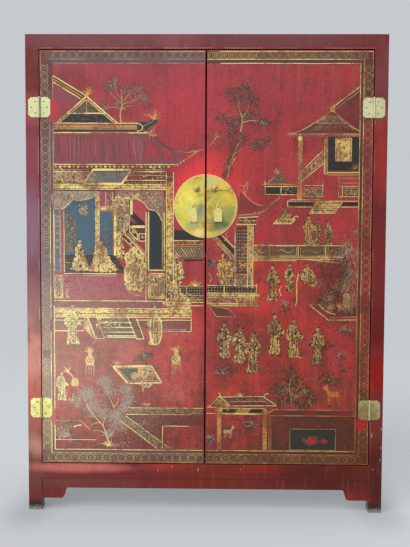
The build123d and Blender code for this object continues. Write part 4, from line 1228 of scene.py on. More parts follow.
robe = smooth([(-240, 884), (-220, 880), (-202, 850), (-197, 800), (-204, 745), (-232, 738), (-262, 748),
               (-270, 790), (-262, 826), (-266, 856)], 3, True)
gown(robe, -234, 738, 150, 1.75, "giltLine")
stroke("umberInk", robe + robe[:1], 1.8)
for x in (-252, -236, -220):
    path("umberInk", 2.0, (x + 8, 872), (x + 4, 830), (x - 4, 790), (x, 748))
path("giltOrange", 3.0, (-262, 744), (-236, 728), (-206, 722), steps=3)
disc("giltFaded", -246, 894, 6, 7)
foliage("umberInk", -247, 902, 7, 5, 14, 3.2)

# right of the hall: far rooms, tiled lean-to, lattice and the terrace edge
blocks("charcoal", (-110, 909, -6, 940))
blocks("umberWash", (-110, 893, -6, 905))
lines("giltLine", 2.8, (-112, 906, -6, 906))
lines("giltDull", 2.2, (-112, 894, -6, 894), (-112, 887, -6, 887))
speckle("giltDull", rect(-110, 896, -8, 904), 26, 3)
film("oliveFill", [(-110, 884), (-6, 884), (-6, 850), (-70, 846), (-110, 862)])
for i in range(11):
    line("giltDull" if i % 3 else "giltLine", (-110 + 10 * i, 882), (-84 + 8.4 * i, 852), 2.0)
lines("charcoal", 5.0, (-72, 842, -6, 842))
figure(-96, 702, 168, -1, "giltFaded", 1.3, False, 0.85)
blocks("charcoal", (-92, 727, -6, 755))
fret("giltFaded", -92, 727, -6, 755, 9, 1.7)
lines("giltDull", 2.4, (-92, 756, -6, 756), (-92, 726, -6, 726), (-62, 726, -62, 756))
sprig("giltLine", -34, 756, 24, 7, 2.0, 90)
blocks("charcoal", (-134, 712, -104, 738))
fret("giltFaded", -134, 712, -104, 738, 9, 2.0)
blocks("umberWash", (-110, 704, -6, 724))
speckle("giltDull", rect(-108, 707, -8, 722), 50, 3)
lines("giltLine", 3.0, (-142, 703, -6, 703), (-110, 691, -6, 691))
lines("giltOrange", 2.4, (-108, 712, -6, 712))
film("giltFill", [(-118, 702), (-104, 702), (-104, 684), (-52, 684), (-44, 676), (-44, 654), (-118, 654)])
speckle("umberInk", rect(-114, 656, -48, 680), 60, 3)
board(-102, 684, -56, 700, None, "giltLine", 2.4)

# terrace edge in bright gold, stairs and rails
blocks("giltFill", (-498, 665, -46, 681))
dusted(rect(-496, 666, -50, 680), ("umberInk", 90, 3.2), ("giltLine", 230, 3.8))
speckle("giltLine", rect(-140, 655, -50, 700), 90, 4.2)
speckle("giltLemon", rect(-496, 655, -300, 680), 170, 4.6)
blocks("giltOrange", (-498, 654, -46, 662))
lines("giltLine", 3.4, (-499, 681, -46, 681), (-499, 652, -46, 652))
lines("umberInk", 2.0, (-499, 664, -46, 664))
blocks("mauveWash", (-498, 608, -402, 640))
blocks("umberWash", (-222, 608, -186, 642))
blocks("mauveWash", (-186, 608, -48, 642))
lines("giltLine", 3.0, (-499, 606, -402, 606), (-499, 641, -402, 641), (-180, 606, -48, 606),
      (-230, 643, -46, 643), (-46, 606, -46, 652))
lines("giltDull", 2.0, (-402, 606, -402, 641), (-210, 612, -60, 612))
for i, z in enumerate((650, 634, 618, 602, 590)):
    shift = 6 * i
    film("darkGreen" if i % 2 else "oliveFill", rect(-352 + shift, z - 15, -252 + shift, z - 2))
    speckle("umberInk", rect(-350 + shift, z - 14, -254 + shift, z - 4), 20, 3)
    lines("giltLine", 3.4, (-354 + shift, z, -250 + shift, z))
slab("umberWash", "giltLine", 3.0, (-392, 660), (-362, 660), (-334, 580), (-362, 580))
slab("giltFill", "giltLine", 2.6, (-398, 650), (-392, 652), (-364, 582), (-372, 584), (-398, 612))
speckle("umberInk", [(-396, 646), (-388, 646), (-368, 588), (-378, 592)], 16, 3)
slab("umberWash", "giltLine", 3.0, (-260, 660), (-232, 660), (-202, 580), (-228, 580))
speckle("mauveWash", [(-388, 655), (-366, 655), (-340, 584), (-360, 584)], 26, 4)
speckle("mauveWash", [(-256, 655), (-236, 655), (-208, 584), (-226, 584)], 26, 4)
lines("giltLine", 3.4, (-334, 585, -226, 585))
dusted(rect(-361, 612, -281, 654), ("giltLine", 60, 4.6), ("greenGrey", 40, 4.0))
speckle("giltLine", rect(-90, 656, -46, 733), 70, 4.4)

# the courtyard: servants, stands of flowers, carpet
figure(-441, 562, 136, 1, "giltLemon", 1.5, False)
foliage("greyLeaf", -440, 596, 18, 30, 50, 3.6)
foliage("greenGrey", -440, 600, 16, 40, 40, 4)
figure(-166, 562, 134, -1, "giltFill", 1.7, False, 0.9)
sheet("giltFill", smooth([(-178, 668), (-156, 668), (-145, 644), (-142, 606), (-150, 568), (-162, 561),
                          (-178, 568), (-187, 606), (-185, 644)], 3, True), 0.27)
for shift in (-11, -3, 6):
    path("umberInk", 1.6, (-165 + shift * 0.6, 656), (-164 + shift, 612), (-165 + shift * 1.3, 570), steps=4)
path("giltOrange", 3.0, (-158, 662), (-151, 620), (-156, 572), steps=4)
path("giltLine", 3.0, (-178, 654), (-181, 610), (-174, 570), steps=4)
lines("umberInk", 1.6, (-182, 632, -148, 636), (-180, 600, -146, 596))
path("giltLemon", 3.4, (-156, 655), (-146, 636), (-144, 600), (-152, 568), (-163, 562), (-177, 570),
     (-185, 606), steps=4)
disc("boardGrey", -168, 696, 7, 6)
disc("charcoal", -168, 682, 8, 9)
for x, z in ((-382, -14), (-96, -8)):
    soft("giltFill", (x - 12, 506 + z), (x + 12, 506 + z), (x + 14, 528 + z), (x + 5, 538 + z),
         (x + 8, 548 + z), (x - 8, 548 + z), (x - 5, 538 + z), (x - 14, 528 + z), steps=2)
    speckle("umberInk", rect(x - 11, 508 + z, x + 11, 534 + z), 16, 3)
    sprig("giltLine", x, 546 + z, 26, 7, 2.2, 90)
    sprig("giltOrange", x, 552 + z, 14, 5, 2.0, 90)
    lines("giltDull", 2.4, (x - 16, 504 + z, x + 16, 504 + z), (x - 13, 504 + z, x - 13, 470 + z),
          (x + 13, 504 + z, x + 13, 470 + z), (x - 4, 500 + z, x - 4, 474 + z),
          (x + 4, 500 + z, x + 4, 474 + z))
path("giltOrange", 2.0, (-376, 560), (-364, 574), (-360, 590), steps=3)
tuft("umberInk", -204, 524, 26, 12, 90, 9, 1.8)
tuft("blackInk", -188, 526, 20, 9, 60, 8, 2.0)
tuft("giltDull", -200, 522, 26, 12, 20, 6, 1.4)
foliage("umberInk", -200, 500, 12, 10, 24, 4.0)
sprig("umberInk", -210, 506, 34, 9, 2.0, 90)
film("darkGreen", [(-296, 484), (-180, 486), (-152, 440), (-256, 438)])
edging("giltLine", [(-306, 487), (-178, 490), (-144, 434), (-256, 431)], 6.0)
edging("giltOrange", [(-294, 482), (-184, 484), (-156, 441), (-252, 439)], 2.2)
disc("giltDull", -234, 456, 13, 13)
foliage("umberInk", -234, 456, 8, 8, 14, 3)
foliage("giltFaded", -292, 500, 24, 8, 26, 3.6)
soft("giltFaded", (-218, 488), (-176, 488), (-170, 450), (-182, 418), (-212, 422), (-222, 455))
dusted(rect(-216, 424, -176, 486), ("umberInk", 120, 3.4), ("giltLine", 60, 3.2))
hoop("giltDull", -188, 452, 13, 2.4)
foliage("giltDull", -190, 455, 16, 22, 30, 3.8)
lines("giltOrange", 4.4, (-208, 486, -206, 404))
lines("giltLine", 2.4, (-200, 486, -186, 486))
disc("giltFill", -196, 484, 7, 7)
disc("giltFill", -180, 482, 6, 7)
figure(-478, 374, 96, 1, "giltLemon", 1.4)
foliage("giltFaded", -466, 392, 10, 16, 24, 3.4)
soft("giltFill", (-444, 424), (-424, 420), (-420, 440), (-430, 448), (-442, 444))
path("giltOrange", 5.0, (-462, 470), (-448, 462), (-436, 446), steps=3)
sprig("giltLine", -456, 468, 22, 6, 2.2, 110)
sprig("giltDull", -450, 380, 20, 5, 2.2, -80)
lines("giltDull", 3.0, (-438, 396, -442, 362))

# grey-green trees with pale branches, pond and wall at the foot
for x, z, rx, rz, count in (
    (-394, 396, 34, 28, 170), (-374, 352, 36, 34, 170), (-330, 434, 28, 22, 170), (-318, 404, 22, 20, 90),
    (-264, 412, 24, 18, 120), (-256, 376, 20, 22, 100), (-300, 322, 30, 26, 180), (-288, 286, 28, 26, 180),
    (-340, 330, 26, 24, 90), (-424, 366, 18, 26, 70), (-318, 262, 20, 16, 60), (-270, 346, 18, 16, 60),
):
    tuft("greyLeaf", x, z, rx, rz, int(count * 2.0), 7.0, 1.3)
    tuft("bandDull", x, z, rx, rz, int(count * 1.2), 7.0, 1.3)
    tuft("umberLeaf", x, z, rx, rz, int(count * 1.0), 6.0, 1.5)
    tuft("greenGrey", x, z, rx, rz, int(count * 0.5), 6.0, 1.4)
branches(
    "giltLine",
    (((-318, 222), (-326, 246), (-338, 285), (-361, 312), (-386, 344), (-402, 380)), 3.6),
    (((-340, 286), (-336, 304), (-326, 326)), 2.6), (((-348, 298), (-366, 296), (-380, 288)), 2.2),
    (((-332, 262), (-352, 270), (-372, 270)), 2.0), (((-303, 350), (-312, 371), (-324, 396)), 2.6),
    (((-304, 350), (-292, 364), (-287, 382)), 2.6), (((-324, 246), (-306, 268), (-296, 290)), 2.2),
    (((-364, 316), (-380, 320), (-394, 318)), 2.0), (((-386, 344), (-378, 362), (-380, 378)), 2.0),
    share=0.8,
)
sprig("giltLine", -322, 218, 26, 7, 2.8, 90)
foliage("giltDull", -321, 226, 12, 12, 22, 3.6)
path("giltDull", 2.4, (-499, 304), (-440, 305), (-414, 304), (-398, 288), (-382, 272), steps=3)
foliage("greyLeaf", -470, 262, 34, 26, 110, 4.4)
for x, z, rx, rz, count in ((-468, 300, 18, 12, 60), (-484, 272, 16, 14, 50), (-452, 282, 18, 8, 30)):
    foliage("umberLeaf", x + 3, z - 3, rx, rz, count // 2, 4.4)
    foliage("greenGrey", x, z, rx, rz, count, 4.2)
path("giltLine", 4.0, (-438, 284), (-424, 288), (-412, 290), steps=2)
foliage("giltFaded", -470, 258, 24, 8, 40, 3.6)
lines("giltLine", 2.0, (-499, 240, -362, 240), lost=0.2)
blocks("oliveFill", (-252, 328, -6, 347))
dusted(rect(-250, 330, -8, 345), ("tanFill", 190, 3.6), ("umberInk", 90, 3.0))
lines("giltLine", 2.6, (-256, 349, -6, 349), (-262, 327, -6, 327), lost=0.05)
foliage("giltDull", -196, 360, 20, 10, 36, 3.6)
film("umberWash", [(-262, 326), (-144, 326), (-144, 210), (-112, 210), (-262, 322)])
foliage("tanFill", -206, 296, 40, 26, 60, 3.4)
film("oliveFill", [(-280, 304), (-266, 322), (-116, 212), (-158, 212)])
speckle("tanFill", [(-280, 304), (-266, 322), (-116, 212), (-158, 212)], 110, 3.6)
blocks("umberWash", (-140, 291, -6, 325))
lines("giltLine", 2.8, (-264, 322, -114, 211), (-281, 305, -160, 213))
lines("giltLine", 2.4, (-141, 288, -6, 288), (-141, 213, -141, 288), lost=0.08)
foliage("umberLeaf", -215, 250, 60, 30, 130, 4.6)
foliage("bandDull", -300, 222, 70, 12, 80, 3.6)
print("left door painted:", laid)

# fresh lacquer where the hinges were refitted
for points in (
    [(-511, 1364), (-494, 1360), (-478, 1338), (-484, 1312), (-500, 1298), (-511, 1300)],
    [(-510, 350), (-500, 346), (-497, 318), (-499, 292), (-508, 284), (-512, 312)],
):
    sheet("freshRed", smooth(points, 4, True))

# right door, top: an old tree, a pavilion on stairs
for x, z, rx, rz, count in (
    (80, 1390, 24, 14, 70), (124, 1402, 26, 20, 110), (146, 1362, 34, 26, 150), (104, 1366, 30, 22, 110),
    (52, 1306, 26, 14, 80), (96, 1296, 38, 16, 130), (186, 1292, 40, 16, 150), (140, 1318, 34, 16, 100),
    (172, 1222, 32, 16, 130), (92, 1212, 24, 26, 110), (84, 1262, 18, 28, 90), (76, 1160, 14, 34, 110),
    (64, 1122, 12, 18, 50), (206, 1236, 12, 12, 20), (120, 1240, 20, 16, 60),
):
    tuft("umberLeaf", x, z, rx * 1.15, rz * 1.2, int(count * 1.6), 8.0, 1.9)
    tuft("umberInk", x, z, rx, rz, count // 3, 6.0, 1.6)
    tuft("bandDull", x, z, rx * 1.15, rz * 1.2, count // 4, 7.0, 1.1)
branches(
    "giltDull",
    (((72, 1112), (78, 1150), (94, 1196), (112, 1232)), 4.6),
    (((112, 1262), (118, 1300), (106, 1340), (108, 1364)), 4.0),
    (((94, 1190), (120, 1206), (160, 1216)), 3.0), (((116, 1290), (150, 1298), (190, 1290)), 2.6),
    (((118, 1306), (134, 1330), (140, 1352)), 2.4), (((78, 1140), (66, 1160), (70, 1190)), 2.4),
    (((104, 1320), (84, 1316), (60, 1308)), 2.0),
)
path("giltLine", 3.0, (84, 1152), (90, 1168), (100, 1180), steps=3)
path("giltDull", 3.0, (5, 1214), (16, 1220), (26, 1232), (36, 1250))
sprig("giltDull", 34, 1244, 18, 6, 2.0, 70)
sprig("giltDull", 22, 1228, 16, 4, 1.8, 20)
film("umberWash", [(497, 1403), (412, 1338), (424, 1322), (497, 1268)])
lines("giltLine", 3.4, (498, 1406, 412, 1342))
lines("giltDull", 2.2, (498, 1394, 424, 1338))
soft("umberWash", (404, 1326), (360, 1296), (316, 1268), (276, 1254), (498, 1256), (470, 1274), (436, 1304),
     (418, 1326))
path("giltDull", 3.2, (406, 1328), (364, 1298), (318, 1270), (288, 1258), (266, 1256))
path("giltDull", 3.2, (416, 1326), (440, 1304), (470, 1280), (499, 1264))
path("giltDull", 2.4, (398, 1316), (372, 1300), (350, 1290))
path("giltDull", 2.4, (424, 1314), (438, 1300), (456, 1290))
lines("giltDull", 3.4, (344, 1290, 462, 1290))
path("giltDull", 2.0, (372, 1300), (392, 1306), (408, 1316), (424, 1306), (444, 1300), steps=3)
film("oliveFill", [(372, 1302), (390, 1312), (428, 1312), (446, 1294), (356, 1294)])
speckle("giltDull", [(372, 1300), (392, 1312), (428, 1312), (444, 1296), (358, 1296)], 30, 3.4)
disc("giltOrange", 411, 1332, 9, 7)
sprig("giltLine", 411, 1334, 20, 6, 2.4, 90)
tileRows("bandDull", [(350, 1287), (460, 1287)], [(296, 1262), (492, 1264)], 26, 1.4, 0.3)
lines("giltDull", 3.4, (264, 1255, 499, 1255))
for i in range(19):
    path("giltDull", 1.8, (270 + 12 * i, 1254), (276 + 12 * i, 1246), (282 + 12 * i, 1254), steps=2)
board(302, 1048, 313, 1246, "tanFill", "giltDull", 2.0)
disc("giltLine", 307, 1240, 7, 9)
disc("giltOrange", 307, 1056, 11, 16)
blocks("charcoal", (396, 1136, 498, 1246))
lines("giltDull", 2.4, (396, 1136, 396, 1246))
blocks("giltFill", (422, 1168, 473, 1241))
dusted(rect(425, 1170, 470, 1238), ("giltLine", 150, 4.4), ("umberInk", 26, 3.4))
for x, z in ((436, 1222), (450, 1206), (440, 1190), (458, 1184)):
    sprig("umberInk", x, z, 11, 4, 1.6, 90)
edging("giltLine", [(422, 1168), (473, 1168), (473, 1241), (422, 1241)], 2.6)
sprig("greenGrey", 486, 1140, 22, 8, 2.4, 90)
foliage("greenGrey", 484, 1144, 9, 9, 26, 4)
lines("giltLine", 2.8, (310, 1132, 382, 1202), (312, 1100, 390, 1166))
lines("giltDull", 2.4, (311, 1122, 384, 1194), (312, 1108, 388, 1174))
film("oliveFill", [(313, 1118), (384, 1186), (386, 1178), (314, 1110)])
for i in range(6):
    lines("giltDull", 2.2, (320 + 12 * i, 1108 + 10.4 * i, 320 + 12 * i, 1138 + 10.4 * i))
for i in range(4):
    disc("giltFaded", 330 + 15 * i, 1132 + 14 * i, 4, 5, 8)
board(386, 1126, 396, 1226, "tanFill", "giltLine", 2.4)
disc("giltOrange", 391, 1232, 7, 7)
foliage("umberLeaf", 378, 1238, 9, 8, 18, 4)
sprig("giltDull", 366, 1182, 10, 5, 1.8, 90)
lines("giltLine", 3.2, (396, 1130, 499, 1130))
lines("giltDull", 2.4, (398, 1122, 499, 1122))
blocks("tanFill", (398, 1124, 499, 1129))
lines("giltDull", 2.2, (433, 1052, 433, 1122), (433, 1112, 499, 1112), (433, 1096, 499, 1096),
      (446, 1080, 499, 1080))
lines("giltLine", 2.6, (433, 1086, 499, 1086), (433, 1052, 499, 1052), (446, 1052, 446, 1084))
blocks("oliveFill", (450, 1056, 498, 1078))
speckle("giltDull", rect(452, 1058, 496, 1076), 34, 3.6)
lines("giltLine", 2.6, (320, 1088, 382, 1088), (320, 1052, 382, 1052), (382, 1052, 382, 1098))
board(322, 1056, 378, 1076, "oliveFill", "giltDull", 2.0)
speckle("giltFaded", rect(326, 1059, 374, 1073), 34, 3.6)
lines("giltDull", 2.2, (320, 1080, 382, 1080))

# garden seat with a pot, and the low wall
lines("giltLine", 3.0, (194, 1084, 302, 1084), (194, 1058, 300, 1058), (194, 1058, 194, 1100),
      (246, 1060, 246, 1082))
blocks("charcoal", (198, 1061, 242, 1081), (249, 1061, 298, 1081))
speckle("giltDull", rect(252, 1062, 296, 1079), 16, 3)
lines("giltDull", 2.4, (184, 1092, 300, 1092), (246, 1092, 300, 1088))
film("oliveFill", [(202, 1096), (222, 1112), (222, 1096)])
lines("giltDull", 2.2, (200, 1094, 224, 1114))
soft("oliveFill", (222, 1098), (262, 1098), (256, 1110), (244, 1118), (240, 1134), (228, 1136), (226, 1118))
tuft("giltFaded", 234, 1134, 10, 10, 30, 7, 1.4)
foliage("greenGrey", 244, 1110, 16, 9, 30, 3.4)
foliage("umberInk", 242, 1114, 14, 12, 16, 3.4)
lines("giltDull", 2.2, (300, 1060, 330, 1062))
lines("giltLine", 2.8, (268, 1037, 499, 1037), (268, 1018, 499, 1018), (268, 1018, 268, 1037),
      (276, 1042, 372, 1042))
blocks("charcoal", (272, 1022, 352, 1033), (446, 1022, 498, 1033))
film("giltFill", [(340, 998), (368, 1036), (448, 1036), (420, 998)])
lines("umberInk", 2.6, (354, 1006, 422, 1006), (364, 1019, 432, 1019), (370, 1030, 440, 1030))
speckle("giltLine", [(344, 1000), (370, 1034), (444, 1034), (418, 1000)], 70, 4)
edging("giltLine", [(340, 997), (366, 1037), (448, 1037), (420, 997)], 3.0)
lines("giltDull", 2.2, (364, 1024, 432, 1024), (356, 1012, 424, 1012))

# the great roof's far corner, the mat beyond it
upper = smooth([(124, 1061), (138, 1046), (155, 1032), (172, 1024), (190, 1022), (208, 1026), (224, 1035),
                (243, 1050)])
lower = smooth([(241, 1045), (229, 1036), (212, 1020), (195, 1006), (178, 998), (161, 995), (130, 992),
                (100, 990)])
film("redWash", [(112, 1064)] + upper + lower)
tileRows("umberLeaf", [(114, 1064), (170, 1026)], [(112, 996), (170, 996)], 16, 1.4, 0.2)
tileRows("umberLeaf", [(172, 1024), (208, 1026)], [(172, 998), (206, 1014)], 9, 1.4, 0.2)
stroke("giltDull", upper, 2.4)
stroke("giltDull", lower, 2.4)
for i in range(2, len(lower) - 6, 3):
    disc("giltDull", lower[i][0] + 2, lower[i][1] + 5, 2.4, sides=6)
path("giltDull", 2.2, (104, 1086), (116, 1088), (128, 1084), steps=2)
path("giltDull", 2.4, (124, 1062), (124, 1078), (138, 1100), steps=3)
path("giltDull", 2.4, (126, 1060), (136, 1078), (138, 1100), steps=3)
slab("giltFill", "giltLine", 2.4, (222, 963), (282, 963), (294, 978), (236, 978))
speckle("umberInk", rect(232, 965, 280, 975), 16, 3)
foliage("giltFaded", 262, 990, 16, 14, 50, 4)
figure(258, 972, 50, 1, "giltFill", 1.0, True)
path("giltLine", 3.0, (286, 980), (296, 988), (304, 984), steps=3)

# gold-latticed hall front, balcony and the people on it
blocks("brownWash", (98, 758, 140, 952))
for i in range(5):
    for j in range(17):
        disc("bandDull", 103 + 8.2 * i, 764 + 11 * j, 2.6, 3.6, 6)
blocks("giltFill", (140, 752, 155, 958))
speckle("umberInk", rect(141, 754, 154, 955), 60, 3.2)
lines("giltLine", 3.0, (139, 750, 139, 958), (156, 750, 156, 956), (97, 756, 97, 952))
film("umberWash", [(102, 960), (160, 960), (168, 984), (108, 980)])
speckle("giltDull", [(104, 962), (158, 962), (166, 982), (110, 978)], 24, 3.0)
lines("giltLine", 3.2, (100, 960, 166, 960), (108, 982, 172, 986))
lines("giltDull", 2.6, (104, 972, 168, 974))
film("charcoal", [(36, 924), (48, 924), (96, 874), (96, 856)])
film("tanFill", [(20, 922), (34, 922), (96, 856), (96, 842)])
lines("giltLine", 3.0, (14, 924, 92, 842), (52, 926, 98, 880))
lines("giltDull", 2.2, (30, 922, 96, 852))
path("giltDull", 2.6, (62, 906), (72, 914), (66, 928), (76, 936), steps=3)
blocks("umberWash", (156, 854, 450, 892))
lines("giltLine", 2.8, (156, 892, 452, 892), (156, 847, 420, 847), (156, 854, 452, 854))
for x0, x1 in ((158, 206), (222, 298), (312, 388), (402, 450)):
    board(x0, 858, x1, 889, "oliveFill", "giltFaded", 2.4, 3.5)
    edging("umberInk", [(x0 + 3, 861), (x1 - 3, 861), (x1 - 3, 886), (x0 + 3, 886)], 1.6)
    path("giltFaded", 3.0, (x0 + 8, 870), (x0 + (x1 - x0) * 0.35, 878), (x0 + (x1 - x0) * 0.65, 868),
         (x1 - 8, 876), steps=3)
    speckle("umberLeaf", rect(x0 + 4, 861, x1 - 4, 886), 30, 3.4)
for x in (212, 304, 394):
    lines("giltLine", 2.8, (x, 850, x, 894))
lines("giltLine", 2.4, (156, 842, 300, 842), (320, 847, 436, 836))
figure(336, 894, 98)
figure(366, 894, 84, -1)
figure(400, 892, 82, 1, "giltFaded", 1.2)
foliage("giltDull", 410, 920, 14, 12, 26, 3.6)
figure(222, 712, 116, -1)
figure(276, 742, 92, 1, "giltFaded", 1.2)
path("giltLine", 3.0, (252, 762), (244, 744), (250, 726), steps=3)
path("giltLine", 3.4, (306, 800), (300, 760), (302, 712), (296, 692), steps=3)
soft("giltFill", (308, 790), (340, 816), (362, 790), (366, 762), (350, 756), (322, 776))
speckle("umberInk", rect(312, 764, 360, 806), 34, 4)
figure(334, 768, 66)
figure(56, 762, 106, 1, "giltOrange", 1.2)
figure(82, 758, 96, -1)
speckle("giltLine", rect(40, 766, 92, 830), 60, 4)
foliage("umberInk", 66, 856, 16, 8, 20, 4)
foliage("slateBlue", 22, 832, 11, 13, 34, 5)
foliage("charcoal", 14, 838, 6, 8, 16, 5)
sprig("giltDull", 24, 836, 14, 5, 1.8, 60)
path("giltDull", 2.4, (10, 800), (20, 786), (14, 770), steps=3)
board(98, 758, 152, 796, "tanFill", "giltLine", 2.4)
speckle("umberInk", rect(102, 762, 148, 792), 30, 3.4)
blocks("charcoal", (6, 736, 166, 758))
fret("giltFaded", 6, 737, 166, 757, 10, 1.8)
lines("giltLine", 2.8, (6, 759, 172, 759), (6, 734, 172, 734), (62, 734, 62, 758), (168, 734, 168, 764))
blocks("giltFill", (6, 722, 180, 731))
speckle("giltLine", rect(8, 723, 176, 730), 60, 3.4)
board(6, 700, 156, 719, "umberWash", "giltLine", 3.0)
speckle("giltOrange", rect(10, 692, 158, 718), 130, 4.4)
speckle("giltLine", rect(100, 690, 158, 718), 30, 4.0)
speckle("giltDull", rect(12, 704, 150, 716), 50, 3.4)
film("giltFill", [(156, 720), (176, 722), (166, 712), (176, 696), (156, 698)])
lines("giltLine", 3.6, (6, 692, 178, 692))
lines("giltOrange", 2.6, (6, 697, 170, 697))
speckle("giltOrange", rect(110, 846, 188, 896), 60, 4.4)
speckle("giltOrange", rect(110, 811, 152, 846), 40, 4.4)

# rocks and shrubs on the garden terrace
for pigment, x, z, rx, rz, count in (
    ("umberInk", 420, 730, 44, 44, 260), ("umberInk", 450, 840, 34, 40, 160),
    ("umberLeaf", 402, 790, 36, 40, 240), ("umberLeaf", 450, 800, 34, 50, 260),
    ("greenGrey", 470, 790, 20, 30, 90), ("giltDull", 400, 850, 40, 22, 90),
    ("giltFaded", 426, 740, 30, 36, 110), ("giltDull", 402, 720, 24, 24, 90),
    ("umberLeaf", 424, 712, 40, 30, 160), ("greenGrey", 478, 700, 14, 20, 60),
    ("giltFaded", 468, 900, 20, 26, 50), ("umberLeaf", 400, 830, 50, 22, 120),
    ("giltDull", 444, 690, 26, 14, 50), ("greyLeaf", 466, 880, 26, 30, 60),
    ("greenGrey", 452, 760, 26, 20, 70), ("giltDull", 380, 760, 14, 30, 46),
    ("umberLeaf", 400, 856, 60, 26, 150), ("bandDull", 440, 850, 34, 24, 90),
    ("umberInk", 404, 716, 32, 42, 240), ("greenGrey", 402, 706, 26, 36, 150),
    ("giltDull", 410, 690, 24, 22, 70), ("giltFaded", 398, 724, 18, 24, 40),
):
    tuft(pigment, x, z, rx, rz, count, 9.0, 1.8)
for i in range(150):
    x, z = rng.gauss(474, 14), rng.uniform(668, 880)
    stroke("greyLeaf" if i % 3 else "bandDull", [(x, z), (x + rng.uniform(-7, 7), z + rng.uniform(8, 26))],
           1.7, 0.4, 0)
tuft("greyLeaf", 490, 936, 14, 16, 70, 7.0, 1.4)
for points in (
    ((398, 700), (404, 760), (420, 820), (414, 860)), ((430, 700), (440, 760), (462, 820), (470, 880)),
    ((410, 740), (392, 790), (372, 830)), ((440, 760), (470, 780), (490, 800)),
):
    path("umberInk", 2.6, *points, taper=0.5)
soft("giltFill", (456, 694), (474, 692), (478, 716), (468, 736), (452, 728))
speckle("umberInk", rect(456, 696, 474, 728), 14, 3)
path("giltLine", 3.4, (372, 700), (390, 682), (410, 670), (430, 666), steps=3)
path("giltLine", 3.2, (344, 698), (356, 686), (380, 668), (404, 648), steps=3)
lines("giltLine", 3.0, (402, 647, 499, 648))
lines("giltDull", 2.4, (344, 698, 372, 694), (410, 656, 499, 658))
film("umberWash", [(352, 694), (400, 694), (498, 690), (498, 660), (408, 656)])
slab("umberWash", "giltDull", 2.4, (12, 692), (38, 656), (100, 656), (76, 682))

# people in the court
for x, z, tall, turn, robe in ((66, 520, 128, -1, "giltFaded"), (112, 502, 132, 1, "giltFaded"),
                               (160, 474, 142, -1, "giltFaded")):
    tuft("umberLeaf", x, z + tall * 0.62, 24, 46, 70, 10, 2.2)
    foliage("umberInk", x, z + tall * 0.86, 17, 15, 34, 4.4)
    figure(x, z, tall * 0.94, turn, robe, 1.15)
foliage("umberLeaf", 84, 480, 30, 20, 60, 6)
foliage("umberLeaf", 60, 640, 16, 10, 30, 5)
figure(228, 534, 134)
foliage("umberInk", 232, 622, 14, 16, 26, 5)
path("giltOrange", 3.4, (196, 612), (184, 616), (178, 606), steps=3)
path("blackInk", 4.0, (216, 532), (222, 528), (228, 532), steps=2)
path("blackInk", 4.0, (238, 530), (246, 528), (250, 532), steps=2)
figure(292, 522, 130)
path("giltLine", 3.2, (308, 524), (322, 520), (334, 522), steps=2)
foliage("umberInk", 300, 610, 12, 12, 22, 5)
figure(372, 500, 126, -1, "giltFaded", 1.2)
tuft("umberInk", 388, 556, 16, 36, 60, 8, 1.8)
foliage("umberLeaf", 362, 600, 12, 12, 26, 5)

# low trees, deer and drifting leaves
for x, z, rx, rz, count in (
    (282, 478, 24, 18, 70), (290, 446, 36, 26, 140), (266, 414, 34, 20, 100), (330, 408, 30, 20, 90),
    (300, 388, 46, 22, 120), (256, 374, 30, 18, 70), (352, 380, 26, 22, 70), (404, 452, 28, 18, 90),
    (318, 364, 40, 12, 60), (428, 440, 14, 10, 24), (232, 420, 16, 14, 30),
):
    tuft("umberInk", x, z, rx, rz, int(count * 1.3), 8.0, 1.6)
    tuft("greenGrey", x, z, rx, rz, count // 2, 7.0, 1.3)
    tuft("giltDull", x, z, rx, rz, count // 3, 7.0, 1.2)
    tuft("umberLeaf", x, z, rx * 1.2, rz * 1.2, count, 9.0, 1.8)
branches(
    "giltDull",
    (((288, 360), (286, 390), (280, 420), (286, 450)), 3.4), (((300, 384), (322, 400), (344, 412)), 2.4),
    (((300, 392), (280, 408), (262, 424)), 2.4), (((302, 410), (316, 428), (318, 444)), 2.0),
    (((352, 362), (346, 382), (356, 400)), 2.2), (((268, 362), (264, 376), (272, 390)), 2.0),
)
for x, z, s, turn, hide in ((422, 388, 1.0, -1, "giltOrange"), (80, 264, 0.66, 1, "giltDull")):
    body = [(x + turn * s * px, z + s * pz) for px, pz in (
        (-27, 14), (-25, 4), (-12, 0), (4, 1), (13, 6), (17, 16), (22, 26), (31, 29), (30, 34), (22, 37),
        (15, 32), (9, 21), (-4, 19), (-18, 22))]
    sheet(hide, smooth(body, 2, True))
    speckle("umberInk", body, 9, 2.2)
    for px in (-23, -17, 5, 11):
        path(hide, 2.2, (x + turn * s * px, z + 6 * s), (x + turn * s * (px + 2), z - 8 * s),
             (x + turn * s * (px - 1), z - 24 * s), steps=2)
    sprig("giltLine", x + turn * s * 20, z + 36 * s, 9 * s, 3, 1.6, 90)
for x, z, rx, rz, count in (
    (120, 700, 16, 8, 26), (260, 676, 20, 8, 30), (300, 712, 16, 8, 26), (452, 612, 20, 7, 24),
    (452, 640, 30, 10, 40), (46, 580, 14, 20, 30), (420, 560, 20, 12, 26), (214, 476, 14, 8, 16),
    (204, 252, 18, 10, 50), (460, 480, 24, 14, 30),
):
    foliage("umberLeaf", x, z, rx, rz, count, 5.0)
    foliage("giltFaded", x, z, rx * 0.7, rz * 0.7, count // 4, 3.6)
for x, z, rx, rz, count in (
    (151, 296, 18, 9, 70), (19, 246, 12, 22, 70), (461, 614, 34, 9, 70), (448, 529, 22, 14, 60),
    (52, 474, 26, 16, 60), (260, 700, 24, 10, 40),
):
    tuft("umberInk", x, z - 3, rx, rz, count // 2, 7.0, 2.0)
    tuft("greyLeaf", x, z, rx, rz, count, 6.0, 1.6)

